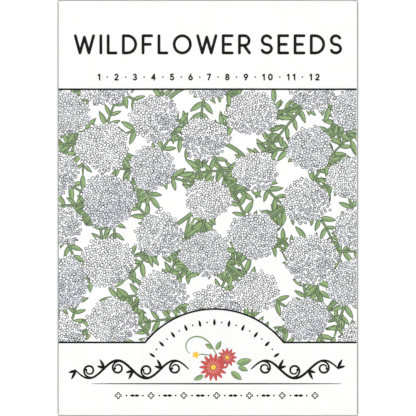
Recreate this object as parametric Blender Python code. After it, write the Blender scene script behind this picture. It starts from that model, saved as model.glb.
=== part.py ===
"""Seed packet: a folded paper envelope with its fill of seeds, lying on its back.

Metres, +Z up. The printed front faces +Z, the packet's top edge faces +Y, and the surface that
the packet lies on is z = 0. The envelope is one flat sheet, folded by a rule: the front panel
carries a back panel on its left fold, a glue flap on its right fold, and an end flap at the top
and at the bottom. The seeds fill the space between the front and the back.
"""
import math
import random
from dataclasses import dataclass

import bmesh
import bpy
from mathutils import Euler, Matrix, Vector

MM = 0.001

# Outside size of the packet
WIDTH = 82.55 * MM
HEIGHT = 114.3 * MM
THICKNESS = 3.2 * MM

# Paper, and the distance between the middles of two layers that lie on each other
PAPER = 0.13 * MM
LAYER = 0.25 * MM

# Flaps: how far each reaches from its fold, and how it narrows towards its tip
SEAM_FLAP = 12.0 * MM
BOTTOM_FLAP = 16.0 * MM
TOP_FLAP = 18.0 * MM
FLAP_INSET = 0.7 * MM
FLAP_TAPER = 4.0 * MM
TIP_ROUNDING = 1.6 * MM
TIP_POWER = 8
SEAM_RAMP = 1.6 * MM
BACK_SHORTFALL = 0.8 * MM
FOLD_RELIEF = 0.3 * MM

# Fill: how far the back sags below the rim, and how wide each panel's slope is
BACK_SAG = 1.05 * MM
BACK_FLAT_HALF_WIDTH = 22.0 * MM
BACK_FLAT_HALF_LENGTH = 20.0 * MM
FRONT_SLOPE_SIDE = 38.0 * MM
FRONT_SLOPE_BOTTOM = 42.0 * MM
FRONT_SLOPE_TOP = 66.0 * MM

# Mesh fineness of the sheet
FRONT_CELLS_ACROSS = 19
BACK_CELLS_ACROSS = 24
CELLS_ALONG = 37
FLAP_CELLS = 5
SEAM_CELLS = 3
RAMP_CELLS = 2
FOLD_STEPS = 6

# Seeds, and the room that they keep from the paper
SEED_LENGTH = 3.8 * MM
SEED_WIDTH = 2.0 * MM
SEED_HEIGHT = 1.1 * MM
SEED_SIDES = 6
SEED_RINGS = 4
CLEARANCE = 0.3 * MM
RANDOM_SEED = 11

# Loose seeds: how many, how far outside the heap's edge, and how unevenly spaced
LOOSE_SEEDS = 16
LOOSE_NEAR = 3.2 * MM
LOOSE_FAR = 4.8 * MM
LOOSE_UNEVEN = 0.25

# Heap: a low mound, with seeds half sunk in it
HEAP_HALF_WIDTH = 17.0 * MM
HEAP_HALF_LENGTH = 21.5 * MM
HEAP_CENTRE_Y = -10.0 * MM
HEAP_SEEDS = 190
HEAP_SPOKES = 28
HEAP_RINGS = 5
HEAP_RIM_HEIGHT = 0.45 * MM
HEAP_LOBES = ((2, 0.07, 0.6), (5, 0.05, 0.0))
HEAP_SINK = 0.06 * MM

# Colours, linear
PAPER_COLOUR = (0.93, 0.93, 0.92, 1.0)
SEED_COLOUR = (0.21, 0.13, 0.065, 1.0)

# Worked out from the sizes above. SIDE and END are the outermost places of the paper's middle,
# and a REACH is how far a fold stands out past its panel.
LEFT_REACH = LAYER
RIGHT_REACH = 1.5 * LAYER
END_REACH = 2.0 * LAYER
SIDE = WIDTH / 2 - PAPER / 2
END = HEIGHT / 2 - PAPER / 2
PANEL_LEFT = -SIDE + LEFT_REACH
PANEL_RIGHT = SIDE - RIGHT_REACH
PANEL_BOTTOM = -END + END_REACH
PANEL_TOP = END - END_REACH
SEAM_EDGE = WIDTH / 2 - SEAM_FLAP
RIM = PAPER / 2 + BACK_SAG + LAYER
FRONT_RISE = THICKNESS - PAPER / 2 - RIM - LAYER
GOLDEN_ANGLE = math.pi * (3.0 - math.sqrt(5.0))


@dataclass(frozen=True)
class Station:
    """A grid line of the flat sheet: the zone it falls in, and its place or fold angle there."""

    zone: str
    at: float


def ease(distance: float, slope: float) -> float:
    """Return 0 at an edge and 1 past its slope, smooth at both ends."""
    t = min(max(distance / slope, 0.0), 1.0)
    return t * t * t * (t * (6.0 * t - 15.0) + 10.0)


def front_height(x: float, y: float) -> float:
    """Return the height of the front panel's middle surface."""
    across = ease(min(x - PANEL_LEFT, PANEL_RIGHT - x), FRONT_SLOPE_SIDE)
    along = ease(y - PANEL_BOTTOM, FRONT_SLOPE_BOTTOM) * ease(PANEL_TOP - y, FRONT_SLOPE_TOP)
    return RIM + LAYER + FRONT_RISE * across * along


def back_height(x: float, y: float) -> float:
    """Return the height of the back panel's middle surface."""
    across = ease(PANEL_RIGHT - abs(x), PANEL_RIGHT - BACK_FLAT_HALF_WIDTH)
    along = ease(PANEL_TOP - abs(y), PANEL_TOP - BACK_FLAT_HALF_LENGTH)
    return RIM - LAYER - BACK_SAG * across * along


def seam_height(x: float, y: float) -> float:
    """Return the height of the glue flap, one layer outside the back panel."""
    return back_height(x, y) - LAYER


def end_flap_depth(x: float) -> float:
    """Return how far an end flap lies outside the back panel, which is more over the glue flap."""
    over_seam = ease(x - (SEAM_EDGE - SEAM_RAMP), SEAM_RAMP)
    return LAYER * (1.0 + over_seam)


def round_fold(upper: float, lower: float, reach: float, angle: float) -> tuple[float, float]:
    """Return (how far out, height) of a point on a fold between two heights."""
    middle = (upper + lower) / 2
    return reach * math.sin(angle), middle + (upper - lower) / 2 * math.cos(angle)


def spaced(start: float, stop: float, cells: int) -> list[float]:
    """Return evenly spaced places from start to stop, both included."""
    return [start + (stop - start) * i / cells for i in range(cells + 1)]


def fold_angles() -> list[float]:
    """Return the angles of the grid lines inside a fold, its two ends left out."""
    return [math.pi * i / FOLD_STEPS for i in range(1, FOLD_STEPS)]


def sheet_columns() -> list[Station]:
    """Return the flat sheet's grid lines from the back panel's free edge to the glue flap's."""
    back = spaced(PANEL_RIGHT - BACK_SHORTFALL, PANEL_LEFT, BACK_CELLS_ACROSS)
    ramp = spaced(SEAM_EDGE - SEAM_RAMP, SEAM_EDGE, RAMP_CELLS)
    front = [PANEL_LEFT]
    front += spaced(PANEL_LEFT + FLAP_INSET, ramp[0], FRONT_CELLS_ACROSS)
    front += ramp[1:]
    front += spaced(SEAM_EDGE, PANEL_RIGHT - FLAP_INSET, SEAM_CELLS)[1:]
    front.append(PANEL_RIGHT)
    seam = spaced(PANEL_RIGHT, SEAM_EDGE, SEAM_CELLS)
    columns = [Station("back", x) for x in back]
    columns += [Station("left fold", angle) for angle in reversed(fold_angles())]
    columns += [Station("front", x) for x in front]
    columns += [Station("right fold", angle) for angle in fold_angles()]
    columns += [Station("seam flap", x) for x in seam]
    return columns


def sheet_rows() -> list[Station]:
    """Return the flat sheet's grid lines from the bottom flap's tip to the top flap's."""
    front = [PANEL_BOTTOM]
    front += spaced(PANEL_BOTTOM + FOLD_RELIEF, PANEL_TOP - FOLD_RELIEF, CELLS_ALONG)
    front.append(PANEL_TOP)
    rows = [Station("bottom flap", part) for part in spaced(1.0, 0.0, FLAP_CELLS)]
    rows += [Station("bottom fold", angle) for angle in reversed(fold_angles())]
    rows += [Station("front", y) for y in front]
    rows += [Station("top fold", angle) for angle in fold_angles()]
    rows += [Station("top flap", part) for part in spaced(0.0, 1.0, FLAP_CELLS)]
    return rows


def on_sheet(column: Station, row: Station) -> bool:
    """Return whether the die-cut sheet has paper at a grid point."""
    if row.zone != "front":
        inset = PANEL_LEFT + FLAP_INSET / 2 < column.at < PANEL_RIGHT - FLAP_INSET / 2
        return column.zone == "front" and inset
    relief = FOLD_RELIEF / 2
    return column.zone == "front" or PANEL_BOTTOM + relief < row.at < PANEL_TOP - relief


def side_point(column: Station, y: float) -> Vector:
    """Return a folded point of the back panel, the glue flap or a side fold."""
    if column.zone == "back":
        return Vector((column.at, y, back_height(column.at, y)))
    if column.zone == "left fold":
        upper = front_height(PANEL_LEFT, y)
        out, z = round_fold(upper, back_height(PANEL_LEFT, y), LEFT_REACH, column.at)
        return Vector((PANEL_LEFT - out, y, z))
    if column.zone == "right fold":
        upper = front_height(PANEL_RIGHT, y)
        out, z = round_fold(upper, seam_height(PANEL_RIGHT, y), RIGHT_REACH, column.at)
        return Vector((PANEL_RIGHT + out, y, z))
    towards_tip = (PANEL_RIGHT - column.at) / (PANEL_RIGHT - SEAM_EDGE)
    tapered = y * (1.0 - FLAP_TAPER / (HEIGHT / 2) * towards_tip)
    return Vector((column.at, tapered, seam_height(column.at, tapered)))


def end_point(x: float, row: Station) -> Vector:
    """Return a folded point of an end flap or of its fold."""
    side = 1.0 if row.zone.startswith("top") else -1.0
    panel_end = PANEL_TOP if side > 0 else PANEL_BOTTOM
    if row.zone.endswith("fold"):
        lower = back_height(x, panel_end) - end_flap_depth(x)
        out, z = round_fold(front_height(x, panel_end), lower, END_REACH, row.at)
        return Vector((x, panel_end + side * out, z))
    length = TOP_FLAP if side > 0 else BOTTOM_FLAP
    corner = abs(x / (WIDTH / 2)) ** TIP_POWER
    reach = row.at * (length - TIP_ROUNDING * corner)
    tapered = x * (1.0 - FLAP_TAPER / (WIDTH / 2) * row.at)
    y = panel_end - side * reach
    return Vector((tapered, y, back_height(tapered, y) - end_flap_depth(x)))


def folded(column: Station, row: Station) -> Vector:
    """Return where a grid point of the flat sheet lies once the packet is folded and filled."""
    if row.zone != "front":
        return end_point(column.at, row)
    if column.zone != "front":
        return side_point(column, row.at)
    return Vector((column.at, row.at, front_height(column.at, row.at)))


def plain_material(name: str, colour: tuple, roughness: float) -> bpy.types.Material:
    """Return a Principled material of one colour."""
    material = bpy.data.materials.new(name)
    material.use_nodes = True
    shader = material.node_tree.nodes["Principled BSDF"]
    shader.inputs["Base Color"].default_value = colour
    shader.inputs["Roughness"].default_value = roughness
    shader.inputs["Metallic"].default_value = 0.0
    return material


def paper_material() -> bpy.types.Material:
    """Return the white coated paper."""
    return plain_material("paper", PAPER_COLOUR, 0.6)


def seed_material() -> bpy.types.Material:
    """Return the dry brown seed husk."""
    return plain_material("seed", SEED_COLOUR, 0.85)


def place(name: str, bm: bmesh.types.BMesh, material: bpy.types.Material) -> bpy.types.Object:
    """Turn a bmesh into an object of the scene with one material."""
    mesh = bpy.data.meshes.new(name)
    bm.to_mesh(mesh)
    bm.free()
    mesh.materials.append(material)
    item = bpy.data.objects.new(name, mesh)
    bpy.context.scene.collection.objects.link(item)
    return item


def folded_sheet() -> bmesh.types.BMesh:
    """Return the sheet's middle surface: a flat grid, die cut, then folded point by point."""
    columns = sheet_columns()
    rows = sheet_rows()
    bm = bmesh.new()
    across = len(columns) - 1
    along = len(rows) - 1
    grid = bmesh.ops.create_grid(bm, x_segments=across, y_segments=along, size=1.0)
    waste = []
    for vert in grid["verts"]:
        column = columns[round((vert.co.x + 1.0) / 2 * across)]
        row = rows[round((vert.co.y + 1.0) / 2 * along)]
        if on_sheet(column, row):
            vert.co = folded(column, row)
        else:
            waste.append(vert)
    bmesh.ops.delete(bm, geom=waste, context="VERTS")
    return bm


def build_envelope(paper: bpy.types.Material) -> bpy.types.Object:
    """Build the envelope: the folded sheet, thickened evenly about its middle."""
    envelope = place("envelope", folded_sheet(), paper)
    thickness = envelope.modifiers.new("paper thickness", "SOLIDIFY")
    thickness.thickness = PAPER
    thickness.offset = 0.0
    thickness.use_even_offset = True
    return envelope


def heap_radius(angle: float) -> float:
    """Return how far the heap spreads in a direction, as a share of its half sizes."""
    return 1.0 + sum(size * math.sin(count * angle + turn) for count, size, turn in HEAP_LOBES)


def heap_place(share: float, angle: float) -> tuple[float, float]:
    """Return the place at a share of the way from the heap's middle to its edge."""
    spread = share * heap_radius(angle)
    x = HEAP_HALF_WIDTH * spread * math.cos(angle)
    y = HEAP_CENTRE_Y + HEAP_HALF_LENGTH * spread * math.sin(angle)
    return x, y


def inner_floor(x: float, y: float) -> float:
    """Return the lowest height that the fill may reach above the back panel."""
    return back_height(x, y) + PAPER / 2 + CLEARANCE


def inner_roof(x: float, y: float) -> float:
    """Return the greatest height that the fill may reach below the front panel."""
    return front_height(x, y) - PAPER / 2 - CLEARANCE


def mound_top(share: float, x: float, y: float) -> float:
    """Return the top of the heap's mound, so low that half a seed fits on it."""
    floor = inner_floor(x, y)
    room = inner_roof(x, y) - floor - HEAP_RIM_HEIGHT - SEED_HEIGHT / 2
    return floor + HEAP_RIM_HEIGHT + max(room, 0.0) * (1.0 - share * share)


def mound() -> bmesh.types.BMesh:
    """Return the heap's mound: a low dome over a bottom that follows the back panel."""
    bm = bmesh.new()
    tops = [[bm.verts.new((0.0, HEAP_CENTRE_Y, mound_top(0.0, 0.0, HEAP_CENTRE_Y)))] * HEAP_SPOKES]
    floor = inner_floor(0.0, HEAP_CENTRE_Y) + HEAP_SINK
    bottoms = [[bm.verts.new((0.0, HEAP_CENTRE_Y, floor))] * HEAP_SPOKES]
    for ring in range(1, HEAP_RINGS + 1):
        share = ring / HEAP_RINGS
        places = [heap_place(share, math.tau * s / HEAP_SPOKES) for s in range(HEAP_SPOKES)]
        tops.append([bm.verts.new((x, y, mound_top(share, x, y))) for x, y in places])
        bottoms.append([bm.verts.new((x, y, inner_floor(x, y) + HEAP_SINK)) for x, y in places])
    for rings in (tops, bottoms, [tops[-1], bottoms[-1]]):
        for inner, outer in zip(rings, rings[1:]):
            for s in range(HEAP_SPOKES):
                after = (s + 1) % HEAP_SPOKES
                corners = [inner[s], outer[s], outer[after], inner[after]]
                bm.faces.new(list(dict.fromkeys(corners)))
    bmesh.ops.recalc_face_normals(bm, faces=bm.faces)
    return bm


def add_seed(bm: bmesh.types.BMesh, centre: Vector, turn: Euler) -> None:
    """Add one seed, an oval grain that is flatter than it is wide."""
    size = Matrix.Diagonal((SEED_LENGTH / 2, SEED_WIDTH / 2, SEED_HEIGHT / 2, 1.0))
    spot = Matrix.Translation(centre) @ turn.to_matrix().to_4x4() @ size
    grain = spot @ Matrix.Rotation(math.pi / 2, 4, "Y")
    bmesh.ops.create_uvsphere(
        bm, u_segments=SEED_SIDES, v_segments=SEED_RINGS, radius=1.0, matrix=grain
    )


def surface_turn(share: float, angle: float, yaw: float) -> Euler:
    """Return the turn of a seed that lies on the mound with a given heading."""
    x, y = heap_place(share, angle)
    step = MM
    rise_x = (mound_top(share, x + step, y) - mound_top(share, x - step, y)) / (2 * step)
    rise_y = (mound_top(share, x, y + step) - mound_top(share, x, y - step)) / (2 * step)
    normal = Vector((-rise_x, -rise_y, 1.0)).normalized()
    tilt = Vector((0.0, 0.0, 1.0)).rotation_difference(normal).to_matrix()
    return (tilt @ Matrix.Rotation(yaw, 3, "Z")).to_euler()


def heap_seeds(rng: random.Random) -> bmesh.types.BMesh:
    """Return the heap's seeds, spread evenly over the mound and out past its edge."""
    bm = bmesh.new()
    for k in range(HEAP_SEEDS):
        share = math.sqrt((k + 0.5) / HEAP_SEEDS)
        angle = k * GOLDEN_ANGLE
        x, y = heap_place(share, angle)
        top = min(mound_top(share, x, y) - HEAP_SINK, inner_roof(x, y) - SEED_HEIGHT / 2 - HEAP_SINK)
        add_seed(bm, Vector((x, y, top)), surface_turn(share, angle, rng.uniform(0.0, math.pi)))
    return bm


def build_heap(husk: bpy.types.Material, rng: random.Random) -> bpy.types.Object:
    """Build the heap: the mound and its seeds, joined into one body."""
    heap = place("seed_heap", mound(), husk)
    guide = place("heap_seeds_guide", heap_seeds(rng), husk)
    guide.hide_render = True
    guide.display_type = "WIRE"
    union = heap.modifiers.new("seeds", "BOOLEAN")
    union.operation = "UNION"
    union.solver = "EXACT"
    union.use_self = True
    union.object = guide
    return heap


def build_loose_seeds(husk: bpy.types.Material, rng: random.Random) -> None:
    """Build the seeds that lie by themselves round the heap, each on the back panel."""
    for k in range(LOOSE_SEEDS):
        angle = math.tau * (k + rng.uniform(-LOOSE_UNEVEN, LOOSE_UNEVEN)) / LOOSE_SEEDS
        away = rng.uniform(LOOSE_NEAR, LOOSE_FAR)
        edge_x, edge_y = heap_place(1.0, angle)
        x = edge_x + away * math.cos(angle)
        y = edge_y + away * math.sin(angle)
        bm = bmesh.new()
        centre = Vector((x, y, inner_floor(x, y) + SEED_HEIGHT / 2))
        add_seed(bm, centre, Euler((0.0, 0.0, rng.uniform(0.0, math.pi))))
        place(f"loose_seed_{k + 1:02d}", bm, husk)


def main() -> None:
    """Clear the scene and build the packet."""
    for item in list(bpy.data.objects):
        bpy.data.objects.remove(item)
    rng = random.Random(RANDOM_SEED)
    husk = seed_material()
    build_envelope(paper_material())
    build_heap(husk, rng)
    build_loose_seeds(husk, rng)


main()
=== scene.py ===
"""Looks of a filled paper seed packet that lies on its back with its printed front facing up.

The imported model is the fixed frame. The envelope is modelled again as one folded sheet of fine
cells, the print is laid on it as thin films, one for each ink, and the seeds get ribbed husks.
Lengths are metres. +X is to the right of the printed front, +Y towards the packet's top edge.
"""
import logging
import math
import random
from collections.abc import Iterable
from dataclasses import dataclass, field
from enum import Enum

import bmesh
import bpy
from mathutils import Matrix, Vector


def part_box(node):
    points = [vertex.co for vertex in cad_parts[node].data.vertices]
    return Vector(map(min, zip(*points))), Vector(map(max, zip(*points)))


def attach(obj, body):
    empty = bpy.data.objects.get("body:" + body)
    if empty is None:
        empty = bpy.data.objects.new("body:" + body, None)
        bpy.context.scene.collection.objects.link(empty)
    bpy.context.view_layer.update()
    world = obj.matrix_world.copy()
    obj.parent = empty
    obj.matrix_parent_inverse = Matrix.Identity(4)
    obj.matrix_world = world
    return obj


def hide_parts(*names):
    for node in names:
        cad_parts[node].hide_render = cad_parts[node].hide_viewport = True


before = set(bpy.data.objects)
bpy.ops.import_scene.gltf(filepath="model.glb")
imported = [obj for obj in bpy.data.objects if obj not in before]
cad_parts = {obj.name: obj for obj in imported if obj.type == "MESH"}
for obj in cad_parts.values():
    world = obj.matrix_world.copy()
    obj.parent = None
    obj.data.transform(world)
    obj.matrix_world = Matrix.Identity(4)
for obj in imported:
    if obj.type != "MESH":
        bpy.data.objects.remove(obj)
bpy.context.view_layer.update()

MM = 0.001
BODY = "root"
BAKE_MAP = "OFBake"
GOLDEN_ANGLE = math.pi * (3.0 - math.sqrt(5.0))
# Cuts take points nearer than this as one
SAME_PLACE = 1e-9
# All random draws start from this number
FIRST_DRAW = 5
LOG = logging.getLogger("seed_packet")


def linear(code: str) -> tuple[float, float, float, float]:
    """Turn an sRGB hex colour into linear RGBA.

    Args:
        code: The colour as six hex digits.

    Returns:
        The colour for a shader socket.
    """
    parts = [int(code[i:i + 2], 16) / 255.0 for i in (0, 2, 4)]
    red, green, blue = (p / 12.92 if p <= 0.04045 else ((p + 0.055) / 1.055) ** 2.4 for p in parts)
    return red, green, blue, 1.0


def add_node(tree: bpy.types.NodeTree, kind: str, settings: dict, links: dict) -> bpy.types.Node:
    """Add a node to a tree, set it up and link its inputs.

    Args:
        tree: The tree that gets the node.
        kind: The node's type.
        settings: Values by input name or index, or by the node's own property name.
        links: Output sockets by input name or index.

    Returns:
        The new node.
    """
    node = tree.nodes.new(kind)
    for name, value in settings.items():
        if isinstance(name, int) or name in node.inputs:
            node.inputs[name].default_value = value
        else:
            setattr(node, name, value)
    for name, source in links.items():
        tree.links.new(source, node.inputs[name])
    return node


def ease(distance: float, slope: float) -> float:
    """Return 0 at an edge and 1 past its slope, smooth at both ends."""
    t = min(max(distance / slope, 0.0), 1.0)
    return t * t * t * (t * (6.0 * t - 15.0) + 10.0)


def jitter(rng: random.Random, swing: float) -> float:
    """Draw a number between minus the swing and the swing."""
    return rng.uniform(-swing, swing)


def flat(x: float, y: float) -> Vector:
    """Return a point of the XY plane."""
    return Vector((x, y, 0.0))


def pointing(angle: float) -> Vector:
    """Return the flat unit vector at an angle from +X."""
    return flat(math.cos(angle), math.sin(angle))


@dataclass(frozen=True)
class PacketForm:
    """The filled packet's shape, from which the paper, the print and the seeds take their places."""

    width: float = 82.55 * MM
    height: float = 114.3 * MM
    thickness: float = 3.2 * MM
    paper: float = 0.13 * MM
    layer: float = 0.25 * MM
    back_sag: float = 1.05 * MM
    back_flat_half_width: float = 22.0 * MM
    back_flat_half_length: float = 20.0 * MM
    front_slope_side: float = 38.0 * MM
    front_slope_bottom: float = 42.0 * MM
    front_slope_top: float = 66.0 * MM
    seam_flap: float = 12.0 * MM
    ink_room: float = 0.09 * MM
    pucker_depth: float = 0.11 * MM
    pucker_waves: float = 7.0
    pucker_start: float = 7.0 * MM
    pucker_end: float = 44.0 * MM
    pucker_edge: float = 9.0 * MM

    @property
    def left_reach(self) -> float:
        """How far the left fold stands out past its panel."""
        return self.layer

    @property
    def right_reach(self) -> float:
        """How far the right fold, which holds the glue flap too, stands out past its panel."""
        return 1.5 * self.layer

    @property
    def end_reach(self) -> float:
        """How far the top and bottom folds stand out past their panel."""
        return 2.0 * self.layer

    @property
    def left(self) -> float:
        """Where the front panel ends on its left."""
        return -self.width / 2 + self.paper / 2 + self.left_reach

    @property
    def right(self) -> float:
        """Where the front panel ends on its right."""
        return self.width / 2 - self.paper / 2 - self.right_reach

    @property
    def top(self) -> float:
        """Where the front panel ends at its top; its bottom is as far the other way."""
        return self.height / 2 - self.paper / 2 - self.end_reach

    @property
    def seam_edge(self) -> float:
        """Where the glue flap's free edge lies."""
        return self.width / 2 - self.seam_flap

    @property
    def rim(self) -> float:
        """The height of the middle between front and back at the packet's rim."""
        return self.paper / 2 + self.back_sag + self.layer

    def pucker(self, x: float, y: float) -> float:
        """Return how deep the soft creases are that fan out from the packet's corners.

        Args:
            x: The place across the packet.
            y: The place along it.

        Returns:
            The depth below the smooth front.
        """
        depth = 0.0
        for corner_x, corner_y in ((self.left, self.top), (self.right, self.top),
                                   (self.left, -self.top), (self.right, -self.top)):
            away_x = abs(x - corner_x)
            away_y = abs(y - corner_y)
            reach = math.hypot(away_x, away_y)
            share = (reach - self.pucker_start) / (self.pucker_end - self.pucker_start)
            if 0.0 < share < 1.0:
                fade = math.sin(math.pi * share) ** 2
                edge = ease(min(away_x, away_y), self.pucker_edge)
                wave = 0.5 + 0.5 * math.cos(self.pucker_waves * math.atan2(away_y, away_x))
                depth += self.pucker_depth * fade * edge * wave
        return depth

    def front(self, x: float, y: float) -> float:
        """Return the height of the front panel's middle surface.

        Args:
            x: The place across the packet.
            y: The place along it.

        Returns:
            The height above the floor.
        """
        rise = self.thickness - self.paper / 2 - self.rim - self.layer - self.ink_room
        across = ease(min(x - self.left, self.right - x), self.front_slope_side)
        along = ease(y + self.top, self.front_slope_bottom)
        along *= ease(self.top - y, self.front_slope_top)
        return self.rim + self.layer + rise * across * along - self.pucker(x, y)

    def back(self, x: float, y: float) -> float:
        """Return the height of the back panel's middle surface.

        Args:
            x: The place across the packet.
            y: The place along it.

        Returns:
            The height above the floor.
        """
        across = ease(self.right - abs(x), self.right - self.back_flat_half_width)
        along = ease(self.top - abs(y), self.top - self.back_flat_half_length)
        return self.rim - self.layer - self.back_sag * across * along

    def printed_top(self, x: float, y: float) -> float:
        """Return the height of the front panel's printed face."""
        return self.front(x, y) + self.paper / 2


FORM = PacketForm()


def new_material(name: str) -> tuple[bpy.types.Material, bpy.types.NodeTree]:
    """Make an empty node material.

    Args:
        name: The material's name.

    Returns:
        The material and its node tree.
    """
    material = bpy.data.materials.new(name)
    material.use_nodes = True
    material.node_tree.nodes.clear()
    return material, material.node_tree


def mottled(tree: bpy.types.NodeTree, tones: tuple, scale: float,
            detail: float) -> tuple[bpy.types.NodeSocket, bpy.types.NodeSocket]:
    """Add a colour that drifts between two tones.

    Args:
        tree: The material's node tree.
        tones: The two tones, linear.
        scale: How many clouds there are in a metre.
        detail: How fine the clouds' edges are.

    Returns:
        The colour, and the drift between the tones from 0 to 1.
    """
    place = add_node(tree, "ShaderNodeTexCoord", {}, {}).outputs["Object"]
    drift = add_node(tree, "ShaderNodeTexNoise", {"Scale": scale, "Detail": detail},
                     {"Vector": place}).outputs["Fac"]
    colour = add_node(tree, "ShaderNodeMix", {"data_type": "RGBA", 6: tones[0], 7: tones[1]},
                      {0: drift}).outputs[2]
    return colour, drift


@dataclass(frozen=True)
class PaperRelief:
    """The relief that paper and print share: the seeds behind the front, and the paper's tooth."""

    seed_gap: float = 3.2 * MM
    seed_softness: float = 0.7
    seed_depth: float = 0.07 * MM
    fill_half_width: float = 27.0 * MM
    fill_half_length: float = 34.0 * MM
    fill_y: float = -13.6 * MM
    fade_from: float = 0.55
    tooth: float = 0.4 * MM
    tooth_depth: float = 0.004 * MM
    tooth_detail: float = 3.0

    def normal(self, tree: bpy.types.NodeTree) -> bpy.types.NodeSocket:
        """Add the relief's nodes.

        Args:
            tree: The material's node tree.

        Returns:
            The normal for the shader.
        """
        place = add_node(tree, "ShaderNodeTexCoord", {}, {}).outputs["Object"]
        # The seeds press through only over the fill
        seeds = add_node(tree, "ShaderNodeTexVoronoi",
                         {"feature": "SMOOTH_F1", "Scale": 1 / self.seed_gap,
                          "Smoothness": self.seed_softness}, {"Vector": place}).outputs["Distance"]
        fill = add_node(tree, "ShaderNodeMapping",
                        {"Location": (0.0, -self.fill_y / self.fill_half_length, 0.0),
                         "Scale": (1 / self.fill_half_width, 1 / self.fill_half_length, 0.0)},
                        {"Vector": place}).outputs["Vector"]
        away = add_node(tree, "ShaderNodeVectorMath", {"operation": "LENGTH"},
                        {0: fill}).outputs["Value"]
        over_fill = add_node(tree, "ShaderNodeMapRange",
                             {"From Min": self.fade_from, "From Max": 1.0, "To Min": 1.0,
                              "To Max": 0.0}, {"Value": away}).outputs["Result"]
        pressed = add_node(tree, "ShaderNodeMath", {"operation": "MULTIPLY"},
                           {0: seeds, 1: over_fill}).outputs["Value"]
        bumps = add_node(tree, "ShaderNodeBump", {"invert": True, "Distance": self.seed_depth},
                         {"Height": pressed}).outputs["Normal"]
        # Coated paper's tooth is about 0.2 mm across, drawn twice as coarse so that it shows
        tooth = add_node(tree, "ShaderNodeTexNoise",
                         {"Scale": 1 / self.tooth, "Detail": self.tooth_detail},
                         {"Vector": place}).outputs["Fac"]
        return add_node(tree, "ShaderNodeBump", {"Distance": self.tooth_depth},
                        {"Height": tooth, "Normal": bumps}).outputs["Normal"]


# Clay-coated label paper, calendered smooth. The eye gets a bright neutral white with a satin
# sheen, faintly cloudy where the fibres lie denser, and soft bumps where seeds press from behind.
@dataclass(frozen=True)
class CoatedPaper:
    """The envelope's white coated paper."""

    name: str = "coated_paper"
    colour: str = "f1f1f1"
    cloud: str = "ececeb"
    cloud_size: float = 5.0 * MM
    smoothest: float = 0.45
    roughest: float = 0.58
    ior: float = 1.5

    def build(self) -> bpy.types.Material:
        """Build the paper's material.

        Returns:
            The material.
        """
        material, tree = new_material(self.name)
        tones = (linear(self.colour), linear(self.cloud))
        colour, cloud = mottled(tree, tones, 1 / self.cloud_size, detail=4.0)
        satin = add_node(tree, "ShaderNodeMapRange",
                         {"To Min": self.smoothest, "To Max": self.roughest},
                         {"Value": cloud}).outputs["Result"]
        shader = add_node(tree, "ShaderNodeBsdfPrincipled", {"IOR": self.ior},
                          {"Base Color": colour, "Roughness": satin,
                           "Normal": PaperRelief().normal(tree)})
        add_node(tree, "ShaderNodeOutputMaterial", {}, {"Surface": shader.outputs["BSDF"]})
        return material


# Offset printing ink, a film of a few thousandths of a millimetre that has sunk into the coating.
# The eye gets a flat matt-satin colour whose density varies a little, a shade less glossy than
# the paper, and the paper's own relief through it.
@dataclass(frozen=True)
class OffsetInk:
    """One offset printing ink."""

    name: str
    colour: str
    uneven: float = 0.07
    grain: float = 0.5 * MM
    roughness: float = 0.45
    roughness_swing: float = 0.06
    gloss: float = 0.2
    ior: float = 1.5

    def build(self) -> bpy.types.Material:
        """Build the ink's material.

        Returns:
            The material.
        """
        material, tree = new_material(self.name)
        full = linear(self.colour)
        thin = tuple(min(c + self.uneven * (1.0 - c), 1.0) for c in full[:3]) + (1.0,)
        colour, density = mottled(tree, (full, thin), 1 / self.grain, detail=2.0)
        satin = add_node(tree, "ShaderNodeMapRange",
                         {"To Min": self.roughness - self.roughness_swing,
                          "To Max": self.roughness + self.roughness_swing},
                         {"Value": density}).outputs["Result"]
        shader = add_node(tree, "ShaderNodeBsdfPrincipled",
                          {"IOR": self.ior, "Specular IOR Level": self.gloss},
                          {"Base Color": colour, "Roughness": satin,
                           "Normal": PaperRelief().normal(tree)})
        add_node(tree, "ShaderNodeOutputMaterial", {}, {"Surface": shader.outputs["BSDF"]})
        return material


# Dry seed husk, ripened on the plant. The eye gets a matt, fibrous brown that goes from dark to
# straw over half a millimetre.
@dataclass(frozen=True)
class SeedHusk:
    """The seeds' dry husk."""

    name: str = "seed_husk"
    dark: str = "5b4528"
    pale: str = "a88c5f"
    fibre: float = 0.5 * MM
    fibre_depth: float = 0.05 * MM
    roughness: float = 0.85

    def build(self) -> bpy.types.Material:
        """Build the husk's material.

        Returns:
            The material.
        """
        material, tree = new_material(self.name)
        tones = (linear(self.dark), linear(self.pale))
        colour, fibre = mottled(tree, tones, 1 / self.fibre, detail=5.0)
        normal = add_node(tree, "ShaderNodeBump", {"Distance": self.fibre_depth},
                          {"Height": fibre}).outputs["Normal"]
        shader = add_node(tree, "ShaderNodeBsdfPrincipled", {"Roughness": self.roughness},
                          {"Base Color": colour, "Normal": normal})
        add_node(tree, "ShaderNodeOutputMaterial", {}, {"Surface": shader.outputs["BSDF"]})
        return material


# White studio board, sprayed matt. The eye gets an even white ground with no highlight.
@dataclass(frozen=True)
class StudioFloor:
    """The floor's matt white board."""

    name: str = "studio_board"
    colour: str = "fbfbfb"
    shade: str = "f6f6f6"
    cloud_size: float = 83.3 * MM
    roughness: float = 0.9
    gloss: float = 0.2

    def build(self) -> bpy.types.Material:
        """Build the board's material.

        Returns:
            The material.
        """
        material, tree = new_material(self.name)
        tones = (linear(self.colour), linear(self.shade))
        colour, _ = mottled(tree, tones, 1 / self.cloud_size, detail=2.0)
        shader = add_node(tree, "ShaderNodeBsdfPrincipled",
                          {"Roughness": self.roughness, "Specular IOR Level": self.gloss},
                          {"Base Color": colour})
        add_node(tree, "ShaderNodeOutputMaterial", {}, {"Surface": shader.outputs["BSDF"]})
        return material


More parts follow.
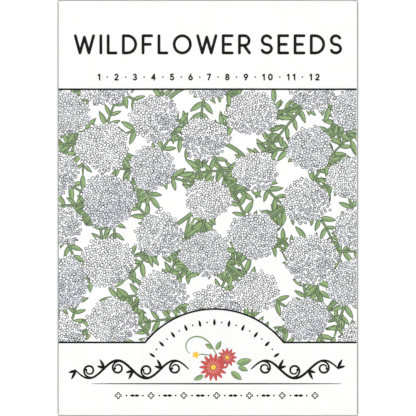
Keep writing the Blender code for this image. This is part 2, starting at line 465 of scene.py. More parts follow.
class Ink(Enum):
    """The printing inks, each of which is one film on the paper."""

    # Graphite grey, for the fine drawn line: nearly black close up, mid grey at arm's length
    LACE_LINE = OffsetInk("ink_lace_line", "36373b", uneven=0.02)
    # A lighter grey line, which keeps the drawing from looking stamped
    LACE_SOFT_LINE = OffsetInk("ink_lace_soft_line", "72737b", uneven=0.03)
    # Cool pale grey, which rounds the heads on their shaded side
    LACE_SHADE = OffsetInk("ink_lace_shade", "cdced6")
    # Very pale grey, which sets every third head a tone apart
    LACE_TINT = OffsetInk("ink_lace_tint", "e3e4e8")
    # White, as bright as the coated paper beside it but without its satin sheen
    LACE_GROUND = OffsetInk("ink_lace_ground", "f4f4f4", uneven=0.2)
    # Deep olive, the drawn edge of every green leaf and stem
    LEAF_LINE = OffsetInk("ink_leaf_line", "3a4c2c", uneven=0.04)
    # Fresh green, for the lit half of a leaf
    LEAF_LIGHT = OffsetInk("ink_leaf_light", "88a965", uneven=0.08)
    # Greyer green, for a leaf's far half and for stems
    LEAF_DARK = OffsetInk("ink_leaf_dark", "6c8c53", uneven=0.08)
    # A dense solid black, so matt that the lights leave no sheen on it
    BLACK = OffsetInk("ink_black", "0c0c0b", uneven=0.01, roughness=0.6, gloss=0.05)
    # Warm tomato red, the blooms' outer petals
    RED = OffsetInk("ink_red", "cb332c")
    # Brown red, the drawn edge of the petals
    DEEP_RED = OffsetInk("ink_deep_red", "8f1d1a")
    # Red thinned by the white of the paper, the inner petals
    PALE_RED = OffsetInk("ink_pale_red", "e77a6e")
    # Egg yellow, the brightest ink, for the blooms' eyes and the bud
    YELLOW = OffsetInk("ink_yellow", "f2c123")

    @property
    def index(self) -> int:
        """The material index that marks this ink's faces on the print sheet."""
        return list(Ink).index(self)


# A mid grey band painted on the folds round the front: painted shade for the dark line along the
# packet's edge, where the white packet ends on a white ground
EDGE_SHADE_INK = OffsetInk("ink_painted_edge_shade", "9b9b9a", uneven=0.03)


def print_in(faces: Iterable[bmesh.types.BMFace], ink: Ink) -> None:
    """Print faces in one ink."""
    for face in faces:
        face.material_index = ink.index


def print_each(faces: list[bmesh.types.BMFace], inks: list[Ink]) -> None:
    """Print each face in its own ink."""
    for face, ink in zip(faces, inks):
        face.material_index = ink.index


def with_corners(faces: Iterable[bmesh.types.BMFace]) -> list:
    """Return faces together with their edges and corners, each once and in order."""
    return list(dict.fromkeys(part for face in faces for part in (*face.verts, *face.edges, face)))


def add_piece(name: str, bm: bmesh.types.BMesh, materials: list,
              nodes: tuple[str, ...] = ()) -> bpy.types.Object:
    """Turn a bmesh into a finished piece that rides on the packet.

    Args:
        name: The piece's name.
        bm: Its mesh, which is freed.
        materials: Its materials.
        nodes: The CAD nodes that it stands for.

    Returns:
        The piece.
    """
    mesh = bpy.data.meshes.new(name)
    bm.to_mesh(mesh)
    bm.free()
    for material in materials:
        mesh.materials.append(material)
    piece = bpy.data.objects.new(name, mesh)
    bpy.context.scene.collection.objects.link(piece)
    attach(piece, BODY)
    if nodes:
        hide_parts(*nodes)
    LOG.info("%s: %d faces", name, len(mesh.polygons))
    return piece


def stamp(target: bmesh.types.BMesh, pattern: bpy.types.Mesh, place: Matrix) -> None:
    """Add a copy of a pattern mesh to a bmesh.

    Args:
        target: The bmesh that gets the copy.
        pattern: The mesh to copy.
        place: Where the copy goes.
    """
    copy = pattern.copy()
    copy.transform(place)
    target.from_mesh(copy)
    bpy.data.meshes.remove(copy)


def as_pattern(bm: bmesh.types.BMesh) -> bpy.types.Mesh:
    """Turn a bmesh into a mesh to stamp, and free it.

    Args:
        bm: The bmesh.

    Returns:
        The mesh.
    """
    pattern = bpy.data.meshes.new("pattern")
    bm.to_mesh(pattern)
    bm.free()
    return pattern


class Zone(Enum):
    """The parts of the flat sheet."""

    BACK = "back panel"
    LEFT_FOLD = "left fold"
    FRONT = "front panel"
    RIGHT_FOLD = "right fold"
    SEAM_FLAP = "seam flap"
    BOTTOM_FLAP = "bottom flap"
    BOTTOM_FOLD = "bottom fold"
    TOP_FOLD = "top fold"
    TOP_FLAP = "top flap"

    @property
    def is_fold(self) -> bool:
        """Whether the paper is bent there."""
        return self.value.endswith("fold")

    @property
    def is_flap(self) -> bool:
        """Whether it is one of the glued flaps."""
        return self.value.endswith("flap")

    @property
    def side(self) -> float:
        """1 for the fold and the flap at the top edge, -1 for the others."""
        return 1.0 if self in (Zone.TOP_FOLD, Zone.TOP_FLAP) else -1.0


@dataclass(frozen=True)
class Station:
    """A grid line of the flat sheet: the zone it falls in, and its place or fold angle there."""

    zone: Zone
    at: float


@dataclass
class Envelope:
    """The folded paper envelope, one sheet with its five panels and four folds."""

    form: PacketForm = FORM
    cell: float = 0.95 * MM
    bottom_flap: float = 16.0 * MM
    top_flap: float = 18.0 * MM
    flap_inset: float = 0.7 * MM
    flap_taper: float = 4.0 * MM
    tip_rounding: float = 1.6 * MM
    tip_power: int = 8
    seam_ramp: float = 1.6 * MM
    back_shortfall: float = 0.8 * MM
    relief: float = 0.3 * MM
    fold_steps: int = 12
    # How far in from the outline the grey painted edge shade reaches
    keyline: float = 0.25 * MM

    def spaced(self, start: float, stop: float, cell: float = 0.0) -> list[float]:
        """Return places from start to stop, about one cell apart."""
        cells = max(1, round(abs(stop - start) / (cell or self.cell)))
        return [start + (stop - start) * i / cells for i in range(cells + 1)]

    def fold_angles(self) -> list[float]:
        """Return the angles of the grid lines inside a fold, its ends left out."""
        return [math.pi * i / self.fold_steps for i in range(1, self.fold_steps)]

    def columns(self) -> list[Station]:
        """List the grid lines from the back panel's free edge to the glue flap's.

        Returns:
            The columns of the flat sheet.
        """
        form = self.form
        ramp_start = form.seam_edge - self.seam_ramp
        front = [form.left]
        front += self.spaced(form.left + self.flap_inset, ramp_start)
        front += self.spaced(ramp_start, form.seam_edge, self.cell / 2)[1:]
        front += self.spaced(form.seam_edge, form.right - self.flap_inset)[1:]
        front.append(form.right)
        back = self.spaced(form.right - self.back_shortfall, form.left)
        columns = [Station(Zone.BACK, x) for x in back]
        columns += [Station(Zone.LEFT_FOLD, angle) for angle in reversed(self.fold_angles())]
        columns += [Station(Zone.FRONT, x) for x in front]
        columns += [Station(Zone.RIGHT_FOLD, angle) for angle in self.fold_angles()]
        columns += [Station(Zone.SEAM_FLAP, x) for x in self.spaced(form.right, form.seam_edge)]
        return columns

    def rows(self) -> list[Station]:
        """List the grid lines from the bottom flap's tip to the top flap's.

        Returns:
            The rows of the flat sheet.
        """
        top = self.form.top
        front = [-top] + self.spaced(-top + self.relief, top - self.relief) + [top]
        share = self.cell / self.top_flap
        rows = [Station(Zone.BOTTOM_FLAP, part) for part in self.spaced(1.0, 0.0, share)]
        rows += [Station(Zone.BOTTOM_FOLD, angle) for angle in reversed(self.fold_angles())]
        rows += [Station(Zone.FRONT, y) for y in front]
        rows += [Station(Zone.TOP_FOLD, angle) for angle in self.fold_angles()]
        rows += [Station(Zone.TOP_FLAP, part) for part in self.spaced(0.0, 1.0, share)]
        return rows

    def on_sheet(self, column: Station, row: Station) -> bool:
        """Tell where the die cutter leaves paper.

        Args:
            column: The grid point's column.
            row: The grid point's row.

        Returns:
            Whether the sheet has paper at the grid point.
        """
        form = self.form
        if row.zone is Zone.FRONT:
            whole = column.zone is Zone.FRONT or column.zone.is_fold
            return whole or abs(row.at) < form.top - self.relief / 2
        inset = self.flap_inset / 2 if row.zone.is_flap else -self.flap_inset / 2
        return column.zone is Zone.FRONT and form.left + inset < column.at < form.right - inset

    def on_fold(self, upper: float, lower: float, reach: float, angle: float) -> tuple[float, float]:
        """Return how far out and how high a point of a fold lies."""
        height = (upper + lower) / 2 + (upper - lower) / 2 * math.cos(angle)
        return reach * math.sin(angle), height

    def side_point(self, column: Station, y: float) -> Vector:
        """Place a point of the back panel, the glue flap or a side fold.

        Args:
            column: The point's column.
            y: Its place along the packet.

        Returns:
            The folded point.
        """
        form = self.form
        if column.zone is Zone.BACK:
            return Vector((column.at, y, form.back(column.at, y)))
        if column.zone is Zone.LEFT_FOLD:
            upper = form.front(form.left, y)
            out, z = self.on_fold(upper, form.back(form.left, y), form.left_reach, column.at)
            return Vector((form.left - out, y, z))
        if column.zone is Zone.RIGHT_FOLD:
            upper = form.front(form.right, y)
            lower = form.back(form.right, y) - form.layer
            out, z = self.on_fold(upper, lower, form.right_reach, column.at)
            return Vector((form.right + out, y, z))
        towards_tip = (form.right - column.at) / (form.right - form.seam_edge)
        tapered = y * (1.0 - self.flap_taper / (form.height / 2) * towards_tip)
        return Vector((column.at, tapered, form.back(column.at, tapered) - form.layer))

    def end_point(self, x: float, row: Station) -> Vector:
        """Place a point of an end flap or of its fold.

        Args:
            x: The point's place across the packet.
            row: Its row.

        Returns:
            The folded point.
        """
        form = self.form
        side = row.zone.side
        end = side * form.top
        depth = form.layer * (1.0 + ease(x - form.seam_edge + self.seam_ramp, self.seam_ramp))
        if row.zone.is_fold:
            lower = form.back(x, end) - depth
            out, z = self.on_fold(form.front(x, end), lower, form.end_reach, row.at)
            flare = {form.left: -form.left_reach, form.right: form.right_reach}.get(x, 0.0)
            return Vector((x + flare * math.sin(row.at), end + side * out, z))
        length = self.top_flap if side > 0 else self.bottom_flap
        corner = abs(x / (form.width / 2)) ** self.tip_power
        y = end - side * row.at * (length - self.tip_rounding * corner)
        tapered = x * (1.0 - self.flap_taper / (form.width / 2) * row.at)
        return Vector((tapered, y, form.back(tapered, y) - depth))

    def folded(self, column: Station, row: Station) -> Vector:
        """Place a grid point of the flat sheet in the folded packet.

        Args:
            column: The grid point's column.
            row: The grid point's row.

        Returns:
            The folded point.
        """
        if row.zone is not Zone.FRONT:
            return self.end_point(column.at, row)
        if column.zone is not Zone.FRONT:
            return self.side_point(column, row.at)
        return Vector((column.at, row.at, self.form.front(column.at, row.at)))

    def carries_keyline(self, face: bmesh.types.BMFace) -> bool:
        """Tell which faces lie in the thin grey band of painted edge shade round the front's outline.

        Args:
            face: A face of the folded sheet.

        Returns:
            Whether the face gets the grey of painted edge shade.
        """
        middle = face.calc_center_median()
        side = self.form.width / 2 - self.form.paper / 2 - abs(middle.x)
        end = self.form.height / 2 - self.form.paper / 2 - abs(middle.y)
        return min(side, end) < self.keyline and middle.z > self.form.rim - self.form.layer / 2

    def build(self) -> None:
        """Build the sheet: a flat grid, die cut, folded point by point, and thickened."""
        columns = self.columns()
        rows = self.rows()
        across = len(columns) - 1
        along = len(rows) - 1
        bm = bmesh.new()
        grid = bmesh.ops.create_grid(bm, x_segments=across, y_segments=along, size=1.0)
        waste = []
        for vert in grid["verts"]:
            column = columns[round((vert.co.x + 1.0) / 2 * across)]
            row = rows[round((vert.co.y + 1.0) / 2 * along)]
            if self.on_sheet(column, row):
                vert.co = self.folded(column, row)
            else:
                waste.append(vert)
        bmesh.ops.delete(bm, geom=waste, context="VERTS")
        for face in bm.faces:
            face.smooth = True
            # Faces on the outline's folds get the grey painted shade of the packet's edge
            face.material_index = int(self.carries_keyline(face))
        materials = [CoatedPaper().build(), EDGE_SHADE_INK.build()]
        piece = add_piece("paper_envelope", bm, materials, ("envelope",))
        wall = piece.modifiers.new("paper thickness", "SOLIDIFY")
        wall.thickness = self.form.paper
        wall.offset = 0.0
        wall.use_even_offset = True


@dataclass
class Stack:
    """Heights above the paper for shapes of one kind, so that no two that meet share one."""

    base: float
    step: float
    count: int
    taken: list[tuple[Vector, float, int]] = field(default_factory=list)

    def level(self, points: list[Vector], reach: float) -> float:
        """Return the lowest free height for a shape, and keep it taken there.

        Args:
            points: Points along the shape.
            reach: How far the shape stands out round each of them.

        Returns:
            The height above the paper.
        """
        near = {number for middle, other, number in self.taken
                if any((middle - point).length < reach + other for point in points)}
        free = [number for number in range(self.count) if number not in near]
        number = free[0] if free else len(self.taken) % self.count
        self.taken.extend((point.copy(), reach, number) for point in points)
        return self.base + self.step * number


def ribbon(path: list[Vector], halves: list[float], ink: Ink) -> bmesh.types.BMesh:
    """Draw a flat ribbon by extruding one cross edge from point to point.

    Args:
        path: The points of its middle line.
        halves: Half its width at each point.
        ink: Its ink.

    Returns:
        The ribbon, in the XY plane.
    """
    bm = bmesh.new()
    left = right = edge = None
    last = len(path) - 1
    for i, (point, half) in enumerate(zip(path, halves)):
        run = (path[min(i + 1, last)] - path[max(i - 1, 0)]).normalized()
        out = flat(-run.y, run.x) * half
        if edge is None:
            left = bm.verts.new(point + out)
            right = bm.verts.new(point - out)
            edge = bm.edges.new((left, right))
            continue
        made = bmesh.ops.extrude_edge_only(bm, edges=[edge])["geom"]
        edge = next(e for e in made if isinstance(e, bmesh.types.BMEdge))
        left, right = sorted(edge.verts, key=lambda v: (v.co - left.co).length)
        left.co = point + out
        right.co = point - out
    print_in(bm.faces, ink)
    return bm


# How far out on a round end its points lie, as shares of its radius
ROUND_END = (0.98, 0.8, 0.45)


def round_ended(path: list[Vector], half: float) -> tuple[list[Vector], list[float]]:
    """Lengthen a path by a round cap at both ends.

    Args:
        path: The points of a stroke's middle line.
        half: Half the stroke's width.

    Returns:
        The longer path and half the width at each of its points.
    """
    start = (path[0] - path[1]).normalized()
    stop = (path[-1] - path[-2]).normalized()
    longer = [path[0] + start * half * share for share in ROUND_END] + list(path)
    longer += [path[-1] + stop * half * share for share in reversed(ROUND_END)]
    cap = [half * math.sqrt(1.0 - share * share) for share in ROUND_END]
    return longer, cap + [half] * len(path) + list(reversed(cap))


def winding(start: Vector, heading: float, length: float, bend: float, tighter: float,
            step: float = 0.35 * MM) -> list[Vector]:
    """Return the points of a curve that bends more and more.

    Args:
        start: Its first point.
        heading: The direction that it starts in.
        length: Its length.
        bend: Its curvature at the start.
        tighter: How much the curvature grows over the length.
        step: The distance between points.

    Returns:
        The curve's points.
    """
    count = max(2, round(length / step))
    path = [start.copy()]
    for i in range(count):
        heading += (bend + tighter * i / count) * step
        path.append(path[-1] + pointing(heading) * step)
    return path


def outline(bm: bmesh.types.BMesh, line_width: float, line_ink: Ink, fill: Ink) -> None:
    """Give a flat shape a printed outline inside its edge.

    Args:
        bm: The shape.
        line_width: The outline's width.
        line_ink: The outline's ink.
        fill: The ink inside it.
    """
    made = bmesh.ops.inset_region(bm, faces=bm.faces[:], thickness=line_width, use_boundary=True,
                                  use_even_offset=True)
    print_in(bm.faces, fill)
    print_in(made["faces"], line_ink)


@dataclass
class PrintSheet:
    """The printed front: flat shapes of every ink, laid on the paper once all are drawn."""

    form: PacketForm = FORM
    bm: bmesh.types.BMesh = field(default_factory=bmesh.new)
    leaves: Stack = field(default_factory=lambda: Stack(base=0.008 * MM, step=0.004 * MM, count=5))
    stems: Stack = field(default_factory=lambda: Stack(base=0.028 * MM, step=0.004 * MM, count=3))
    heads: Stack = field(default_factory=lambda: Stack(base=0.040 * MM, step=0.009 * MM, count=4))
    floret_lift: float = 0.005 * MM
    black: float = 0.077 * MM
    badge: float = 0.02 * MM
    badge_step: float = 0.004 * MM
    dot_sides: int = 14

    def lay(self, shape: bmesh.types.BMesh, level: float, place: Matrix = Matrix()) -> None:
        """Add a flat shape at a level, and free it.

        Args:
            shape: The shape, in the XY plane.
            level: How high above the paper it lies.
            place: Where it goes on the front.
        """
        pattern = as_pattern(shape)
        stamp(self.bm, pattern, Matrix.Translation((0.0, 0.0, level)) @ place)
        bpy.data.meshes.remove(pattern)

    def stroke(self, path: list[Vector], width: float, ink: Ink, level: float) -> None:
        """Lay a round-ended stroke of even width."""
        longer, halves = round_ended(path, width / 2)
        self.lay(ribbon(longer, halves, ink), level)

    def brush(self, path: list[Vector], widest: float, ink: Ink, level: float,
              thin: float = 0.35, swell: float = 0.6) -> None:
        """Lay a brush stroke.

        Args:
            path: The points of its middle line.
            widest: Its width half-way along.
            ink: Its ink.
            level: How high above the paper it lies.
            thin: Its width at both ends, as a share of the widest.
            swell: How soon it widens, where a smaller number is sooner.
        """
        last = len(path) - 1
        halves = [widest / 2 * (thin + (1.0 - thin) * abs(math.sin(math.pi * i / last)) ** swell)
                  for i in range(last + 1)]
        self.lay(ribbon(path, halves, ink), level)

    def dot(self, middle: Vector, radius: float, ink: Ink, level: float) -> None:
        """Lay a round dot.

        Args:
            middle: Its middle on the front.
            radius: Its radius.
            ink: Its ink.
            level: How high above the paper it lies.
        """
        bm = bmesh.new()
        bmesh.ops.create_circle(bm, cap_ends=True, segments=self.dot_sides, radius=radius,
                                matrix=Matrix.Translation(middle))
        print_in(bm.faces, ink)
        self.lay(bm, level)

    def cut(self, faces: list[bmesh.types.BMFace], point: Vector, normal: Vector) -> None:
        """Cut faces by a plane and drop what lies behind it.

        Args:
            faces: The faces to cut.
            point: A point of the plane.
            normal: The plane's direction, towards what stays.
        """
        bmesh.ops.bisect_plane(self.bm, geom=with_corners(faces), dist=SAME_PLACE,
                               plane_co=point, plane_no=normal, clear_inner=True)

    def film(self, ink: Ink) -> bmesh.types.BMesh:
        """Take one ink's faces off the sheet, mapped flat as on the printing plate.

        Args:
            ink: The ink.

        Returns:
            The ink's film.
        """
        film = self.bm.copy()
        others = [face for face in film.faces if face.material_index != ink.index]
        bmesh.ops.delete(film, geom=others, context="FACES")
        plate = film.loops.layers.uv.new(BAKE_MAP)
        side = self.form.height
        for face in film.faces:
            face.material_index = 0
            face.smooth = True
            for corner in face.loops:
                place = corner.vert.co
                corner[plate].uv = (place.x / side + 0.5, place.y / side + 0.5)
        return film

    def finish(self) -> None:
        """Drape the sheet over the paper and part it into one film for each ink."""
        bmesh.ops.triangulate(self.bm, faces=self.bm.faces[:])
        for face in self.bm.faces:
            face.normal_update()
            if face.normal.z < 0.0:
                face.normal_flip()
        for vert in self.bm.verts:
            vert.co.z += self.form.printed_top(vert.co.x, vert.co.y)
        for ink in Ink:
            film = self.film(ink)
            add_piece(ink.value.name, film, [ink.value.build()])
        self.bm.free()


@dataclass(frozen=True)
class Layout:
    """The printed front's bands, measured from the packet's middle."""

    window_top: float = 32.605 * MM
    window_bottom: float = -36.91 * MM
    arch_x: float = 1.8 * MM
    arch_y: float = -51.9 * MM
    arch_radius: float = 24.2 * MM
    rule_width: float = 0.48 * MM

    @property
    def arch_half_angle(self) -> float:
        """Half the angle that the arch spans above the window's lower rule."""
        return math.acos((self.window_bottom - self.arch_y) / self.arch_radius)

    def arch_out(self, angle: float) -> Vector:
        """Return the direction out from the arch's centre, at an angle from +Y."""
        return flat(math.sin(angle), math.cos(angle))

    def on_arch(self, angle: float, radius: float) -> Vector:
        """Return the point at a radius from the arch's centre, at an angle from +Y."""
        return flat(self.arch_x, self.arch_y) + self.arch_out(angle) * radius


LAYOUT = Layout()


@dataclass
class LacyHead:
    """A round bloom of small four-petalled florets, drawn in fine grey line."""

    radius: float
    shade_from: float
    rng: random.Random
    flatness: float = 1.0
    tinted: bool = False
    floret_radius: float = 0.6 * MM
    floret_sizes: tuple[float, float] = (0.78, 1.14)
    floret_spacing: float = 0.96 * MM
    scatter: float = 0.16 * MM
    petal_notch: float = 0.74
    outline_points: int = 8
    line_width: float = 0.17 * MM
    soft_line_share: float = 0.25
    shade_side: float = -math.pi / 3
    shade_swing: float = 0.6
    shade_blur: float = 0.4
    lobe_depth: float = 0.06
    broad_lobes: int = 3
    fine_lobes: int = 9
    hub: float = 0.04
    ground_reach: float = 0.98
    ground_spokes: int = 32
    ground_rings: int = 5
    room: float = 1.1

    def __post_init__(self) -> None:
        """Draw the number that makes this bloom's outline its own."""
        self.turn = self.rng.uniform(0.0, math.tau)

    def spread(self, angle: float) -> float:
        """Return how far the bloom reaches in a direction, as a share of its radius."""
        broad = self.lobe_depth * math.sin(self.broad_lobes * angle + self.turn)
        return 1.0 + broad + self.lobe_depth * math.sin(self.fine_lobes * angle + 2.0 * self.turn)

    def floret(self, bm: bmesh.types.BMesh, centre: Vector, size: float, turn: float) -> None:
        """Add one floret's outline shape.

        Args:
            bm: The bmesh that gets it.
            centre: Its middle.
            size: Its radius.
            turn: How far it is turned.
        """
        place = Matrix.Translation(centre) @ Matrix.Rotation(turn, 4, "Z")
        made = bmesh.ops.create_circle(bm, cap_ends=True, segments=self.outline_points,
                                       radius=size, matrix=place)
        for vert in made["verts"][::2]:
            vert.co = centre.lerp(vert.co, self.petal_notch)

    def florets(self) -> bmesh.types.BMesh:
        """Draw the florets, on a spiral like a daisy's eye, each with its outline.

        Returns:
            The florets, in the XY plane.
        """
        bm = bmesh.new()
        count = round(math.pi * self.radius ** 2 / self.floret_spacing ** 2)
        shade_angle = self.shade_side + jitter(self.rng, self.shade_swing)
        fills = []
        lines = []
        for k in range(count):
            angle = k * GOLDEN_ANGLE
            reach = self.radius * self.spread(angle) * math.sqrt((k + 0.5) / count)
            x = reach * math.cos(angle) + jitter(self.rng, self.scatter)
            y = reach * math.sin(angle) + jitter(self.rng, self.scatter)
            size = self.floret_radius * self.rng.uniform(*self.floret_sizes)
            self.floret(bm, flat(x, y), size, self.rng.uniform(0.0, math.tau))
            towards = (x * math.cos(shade_angle) + y * math.sin(shade_angle)) / self.radius
            shaded = towards + jitter(self.rng, self.shade_blur) > self.shade_from
            soft = self.rng.random() < self.soft_line_share
            light = Ink.LACE_TINT if self.tinted and k % 2 else Ink.LACE_GROUND
            fills.append(Ink.LACE_SHADE if shaded else light)
            lines.append(Ink.LACE_SOFT_LINE if soft else Ink.LACE_LINE)
        inner = bm.faces[:]
        print_each(inner, lines)
        bmesh.ops.inset_individual(bm, faces=inner, thickness=self.line_width,
                                   use_even_offset=True)
        print_each(inner, fills)
        return bm

    def ground(self) -> bmesh.types.BMesh:
        """Draw the bloom's pale ground: a disc spun from one spoke, wavy at its edge.

        Returns:
            The ground, in the XY plane.
        """
        bm = bmesh.new()
        inner = self.hub * self.radius
        step = (self.radius * self.ground_reach - inner) / self.ground_rings
        spoke = [bm.verts.new(flat(inner + step * i, 0.0)) for i in range(self.ground_rings + 1)]
        edges = [bm.edges.new(pair) for pair in zip(spoke, spoke[1:])]
        bmesh.ops.spin(bm, geom=spoke + edges, cent=(0.0, 0.0, 0.0), axis=(0.0, 0.0, 1.0),
                       angle=math.tau, steps=self.ground_spokes, use_merge=True)
        rim = [edge for edge in bm.edges if edge.is_boundary and edge.verts[0].co.length < 2 * inner]
        bmesh.ops.contextual_create(bm, geom=rim)
        for vert in bm.verts:
            vert.co *= self.spread(math.atan2(vert.co.y, vert.co.x))
        print_in(bm.faces, Ink.LACE_TINT if self.tinted else Ink.LACE_GROUND)
        return bm

    def draw(self, sheet: PrintSheet, middle: Vector) -> None:
        """Lay the ground, and the florets a little above it.

        Args:
            sheet: The print.
            middle: The bloom's middle.
        """
        level = sheet.heads.level([middle], self.radius * self.room)
        squash = Matrix.Diagonal((1.0, self.flatness, 1.0, 1.0))
        place = Matrix.Translation(middle) @ squash
        sheet.lay(self.ground(), level, place)
        sheet.lay(self.florets(), level + sheet.floret_lift, place)


@dataclass(frozen=True)
class LanceLeaf:
    """A lance-shaped leaf: a circle drawn out to a point at both ends, lit from one side."""

    length: float
    width: float
    line_width: float = 0.21 * MM
    line_ink: Ink = Ink.LEAF_LINE
    light: Ink = Ink.LEAF_LIGHT
    dark: Ink = Ink.LEAF_DARK
    points: int = 16
    belly_shift: float = 1.2
    keenness: float = 0.7
    longest_face: float = 1.5 * MM

    def shape(self) -> bmesh.types.BMesh:
        """Draw the leaf, pointing along +X from the origin.

        Returns:
            The leaf, in the XY plane.
        """
        bm = bmesh.new()
        bmesh.ops.create_circle(bm, cap_ends=True, segments=self.points, radius=1.0)
        for vert in bm.verts:
            angle = math.atan2(vert.co.y, vert.co.x)
            along = ((1.0 + math.cos(angle)) / 2) ** self.belly_shift
            belly = math.sin(angle) * abs(math.sin(angle)) ** self.keenness
            vert.co = (along * self.length, belly * self.width / 2, 0.0)
        outline(bm, self.line_width, self.line_ink, self.light)
        # Long faces are cut across, so that they follow the bulging paper
        cuts = int(self.length / self.longest_face)
        for i in range(1, cuts + 1):
            bmesh.ops.bisect_plane(bm, geom=with_corners(bm.faces), dist=SAME_PLACE,
                                   plane_co=flat(self.length * i / (cuts + 1), 0.0),
                                   plane_no=(1.0, 0.0, 0.0))
        if self.dark is not self.light:
            inner = [face for face in bm.faces if face.material_index == self.light.index]
            bmesh.ops.bisect_plane(bm, geom=with_corners(inner), dist=SAME_PLACE,
                                   plane_co=(0.0, 0.0, 0.0), plane_no=(0.0, 1.0, 0.0))
            inner = [face for face in bm.faces if face.material_index == self.light.index]
            print_in((face for face in inner if face.calc_center_median().y < 0.0), self.dark)
        return bm

    def draw(self, sheet: PrintSheet, base: Vector, heading: float, level: float | None = None) -> None:
        """Lay the leaf.

        Args:
            sheet: The print.
            base: Where its foot is.
            heading: Where it points.
            level: Its height above the paper, or None for the next free one.
        """
        if level is None:
            middle = base + pointing(heading) * self.length / 2
            level = sheet.leaves.level([middle], self.length / 2)
        sheet.lay(self.shape(), level, Matrix.Translation(base) @ Matrix.Rotation(heading, 4, "Z"))


def lay_stem(sheet: PrintSheet, path: list[Vector], halves: list[float], line_width: float) -> None:
    """Lay an outlined green stem.

    Args:
        sheet: The print.
        path: The points of its middle line.
        halves: Half its width at each point.
        line_width: Its outline's width.
    """
    stem = ribbon(path, halves, Ink.LEAF_DARK)
    outline(stem, line_width, Ink.LEAF_LINE, Ink.LEAF_DARK)
    sheet.lay(stem, sheet.stems.level(path[::2], 2 * max(halves)))


@dataclass
class LeafSprig:
    """A bent stem with pairs of lance leaves and one at its tip, in outlined green."""

    start: Vector
    heading: float
    length: float
    bend: float
    rng: random.Random
    stem_width: float = 1.0 * MM
    stem_taper: float = 0.5
    line_width: float = 0.2 * MM
    leaf_length: float = 4.9 * MM
    leaf_width: float = 1.7 * MM
    leaf_gap: float = 3.0 * MM
    leaf_angle: float = math.radians(50)
    angle_swing: float = 0.15
    leaf_sizes: tuple[float, float] = (0.8, 1.1)
    leaf_taper: float = 0.25
    tip_leaf: float = 0.9
    step: float = 1.0 * MM

    def draw(self, sheet: PrintSheet) -> None:
        """Lay the stem and its leaves.

        Args:
            sheet: The print.
        """
        path = winding(self.start, self.heading, self.length, self.bend, 0.0, self.step)
        halves = [self.stem_width / 2 * (1.0 - self.stem_taper * i / len(path))
                  for i in range(len(path))]
        lay_stem(sheet, path, halves, self.line_width)
        every = round(self.leaf_gap / self.step)
        for i in range(every, len(path) - 1, every):
            run = path[i + 1] - path[i]
            heading = math.atan2(run.y, run.x)
            for side in (-1.0, 1.0):
                turn = side * (self.leaf_angle + jitter(self.rng, self.angle_swing))
                size = self.rng.uniform(*self.leaf_sizes) * (1.0 - self.leaf_taper * i / len(path))
                leaf = LanceLeaf(self.leaf_length * size, self.leaf_width * size)
                leaf.draw(sheet, path[i], heading + turn)
        run = path[-1] - path[-2]
        tip = LanceLeaf(self.leaf_length * self.tip_leaf, self.leaf_width * self.tip_leaf)
        tip.draw(sheet, path[-1], math.atan2(run.y, run.x))


@dataclass
class GrassTuft:
    """A fan of narrow green blades from one foot."""

    foot: Vector
    heading: float
    rng: random.Random
    blades: int = 9
    fan: float = math.radians(105)
    length: float = 8.5 * MM
    sizes: tuple[float, float] = (0.8, 1.05)
    side_loss: float = 0.25
    width: float = 0.85 * MM
    line_width: float = 0.14 * MM

    def draw(self, sheet: PrintSheet) -> None:
        """Lay the blades.

        Args:
            sheet: The print.
        """
        for i in range(self.blades):
            turn = self.fan * (i / (self.blades - 1) - 0.5)
            size = self.rng.uniform(*self.sizes) * (1.0 - self.side_loss * abs(turn) / self.fan)
            tone = Ink.LEAF_LIGHT if i % 2 else Ink.LEAF_DARK
            blade = LanceLeaf(self.length * size, self.width, line_width=self.line_width,
                              light=tone, dark=tone)
            blade.draw(sheet, self.foot, self.heading + turn)


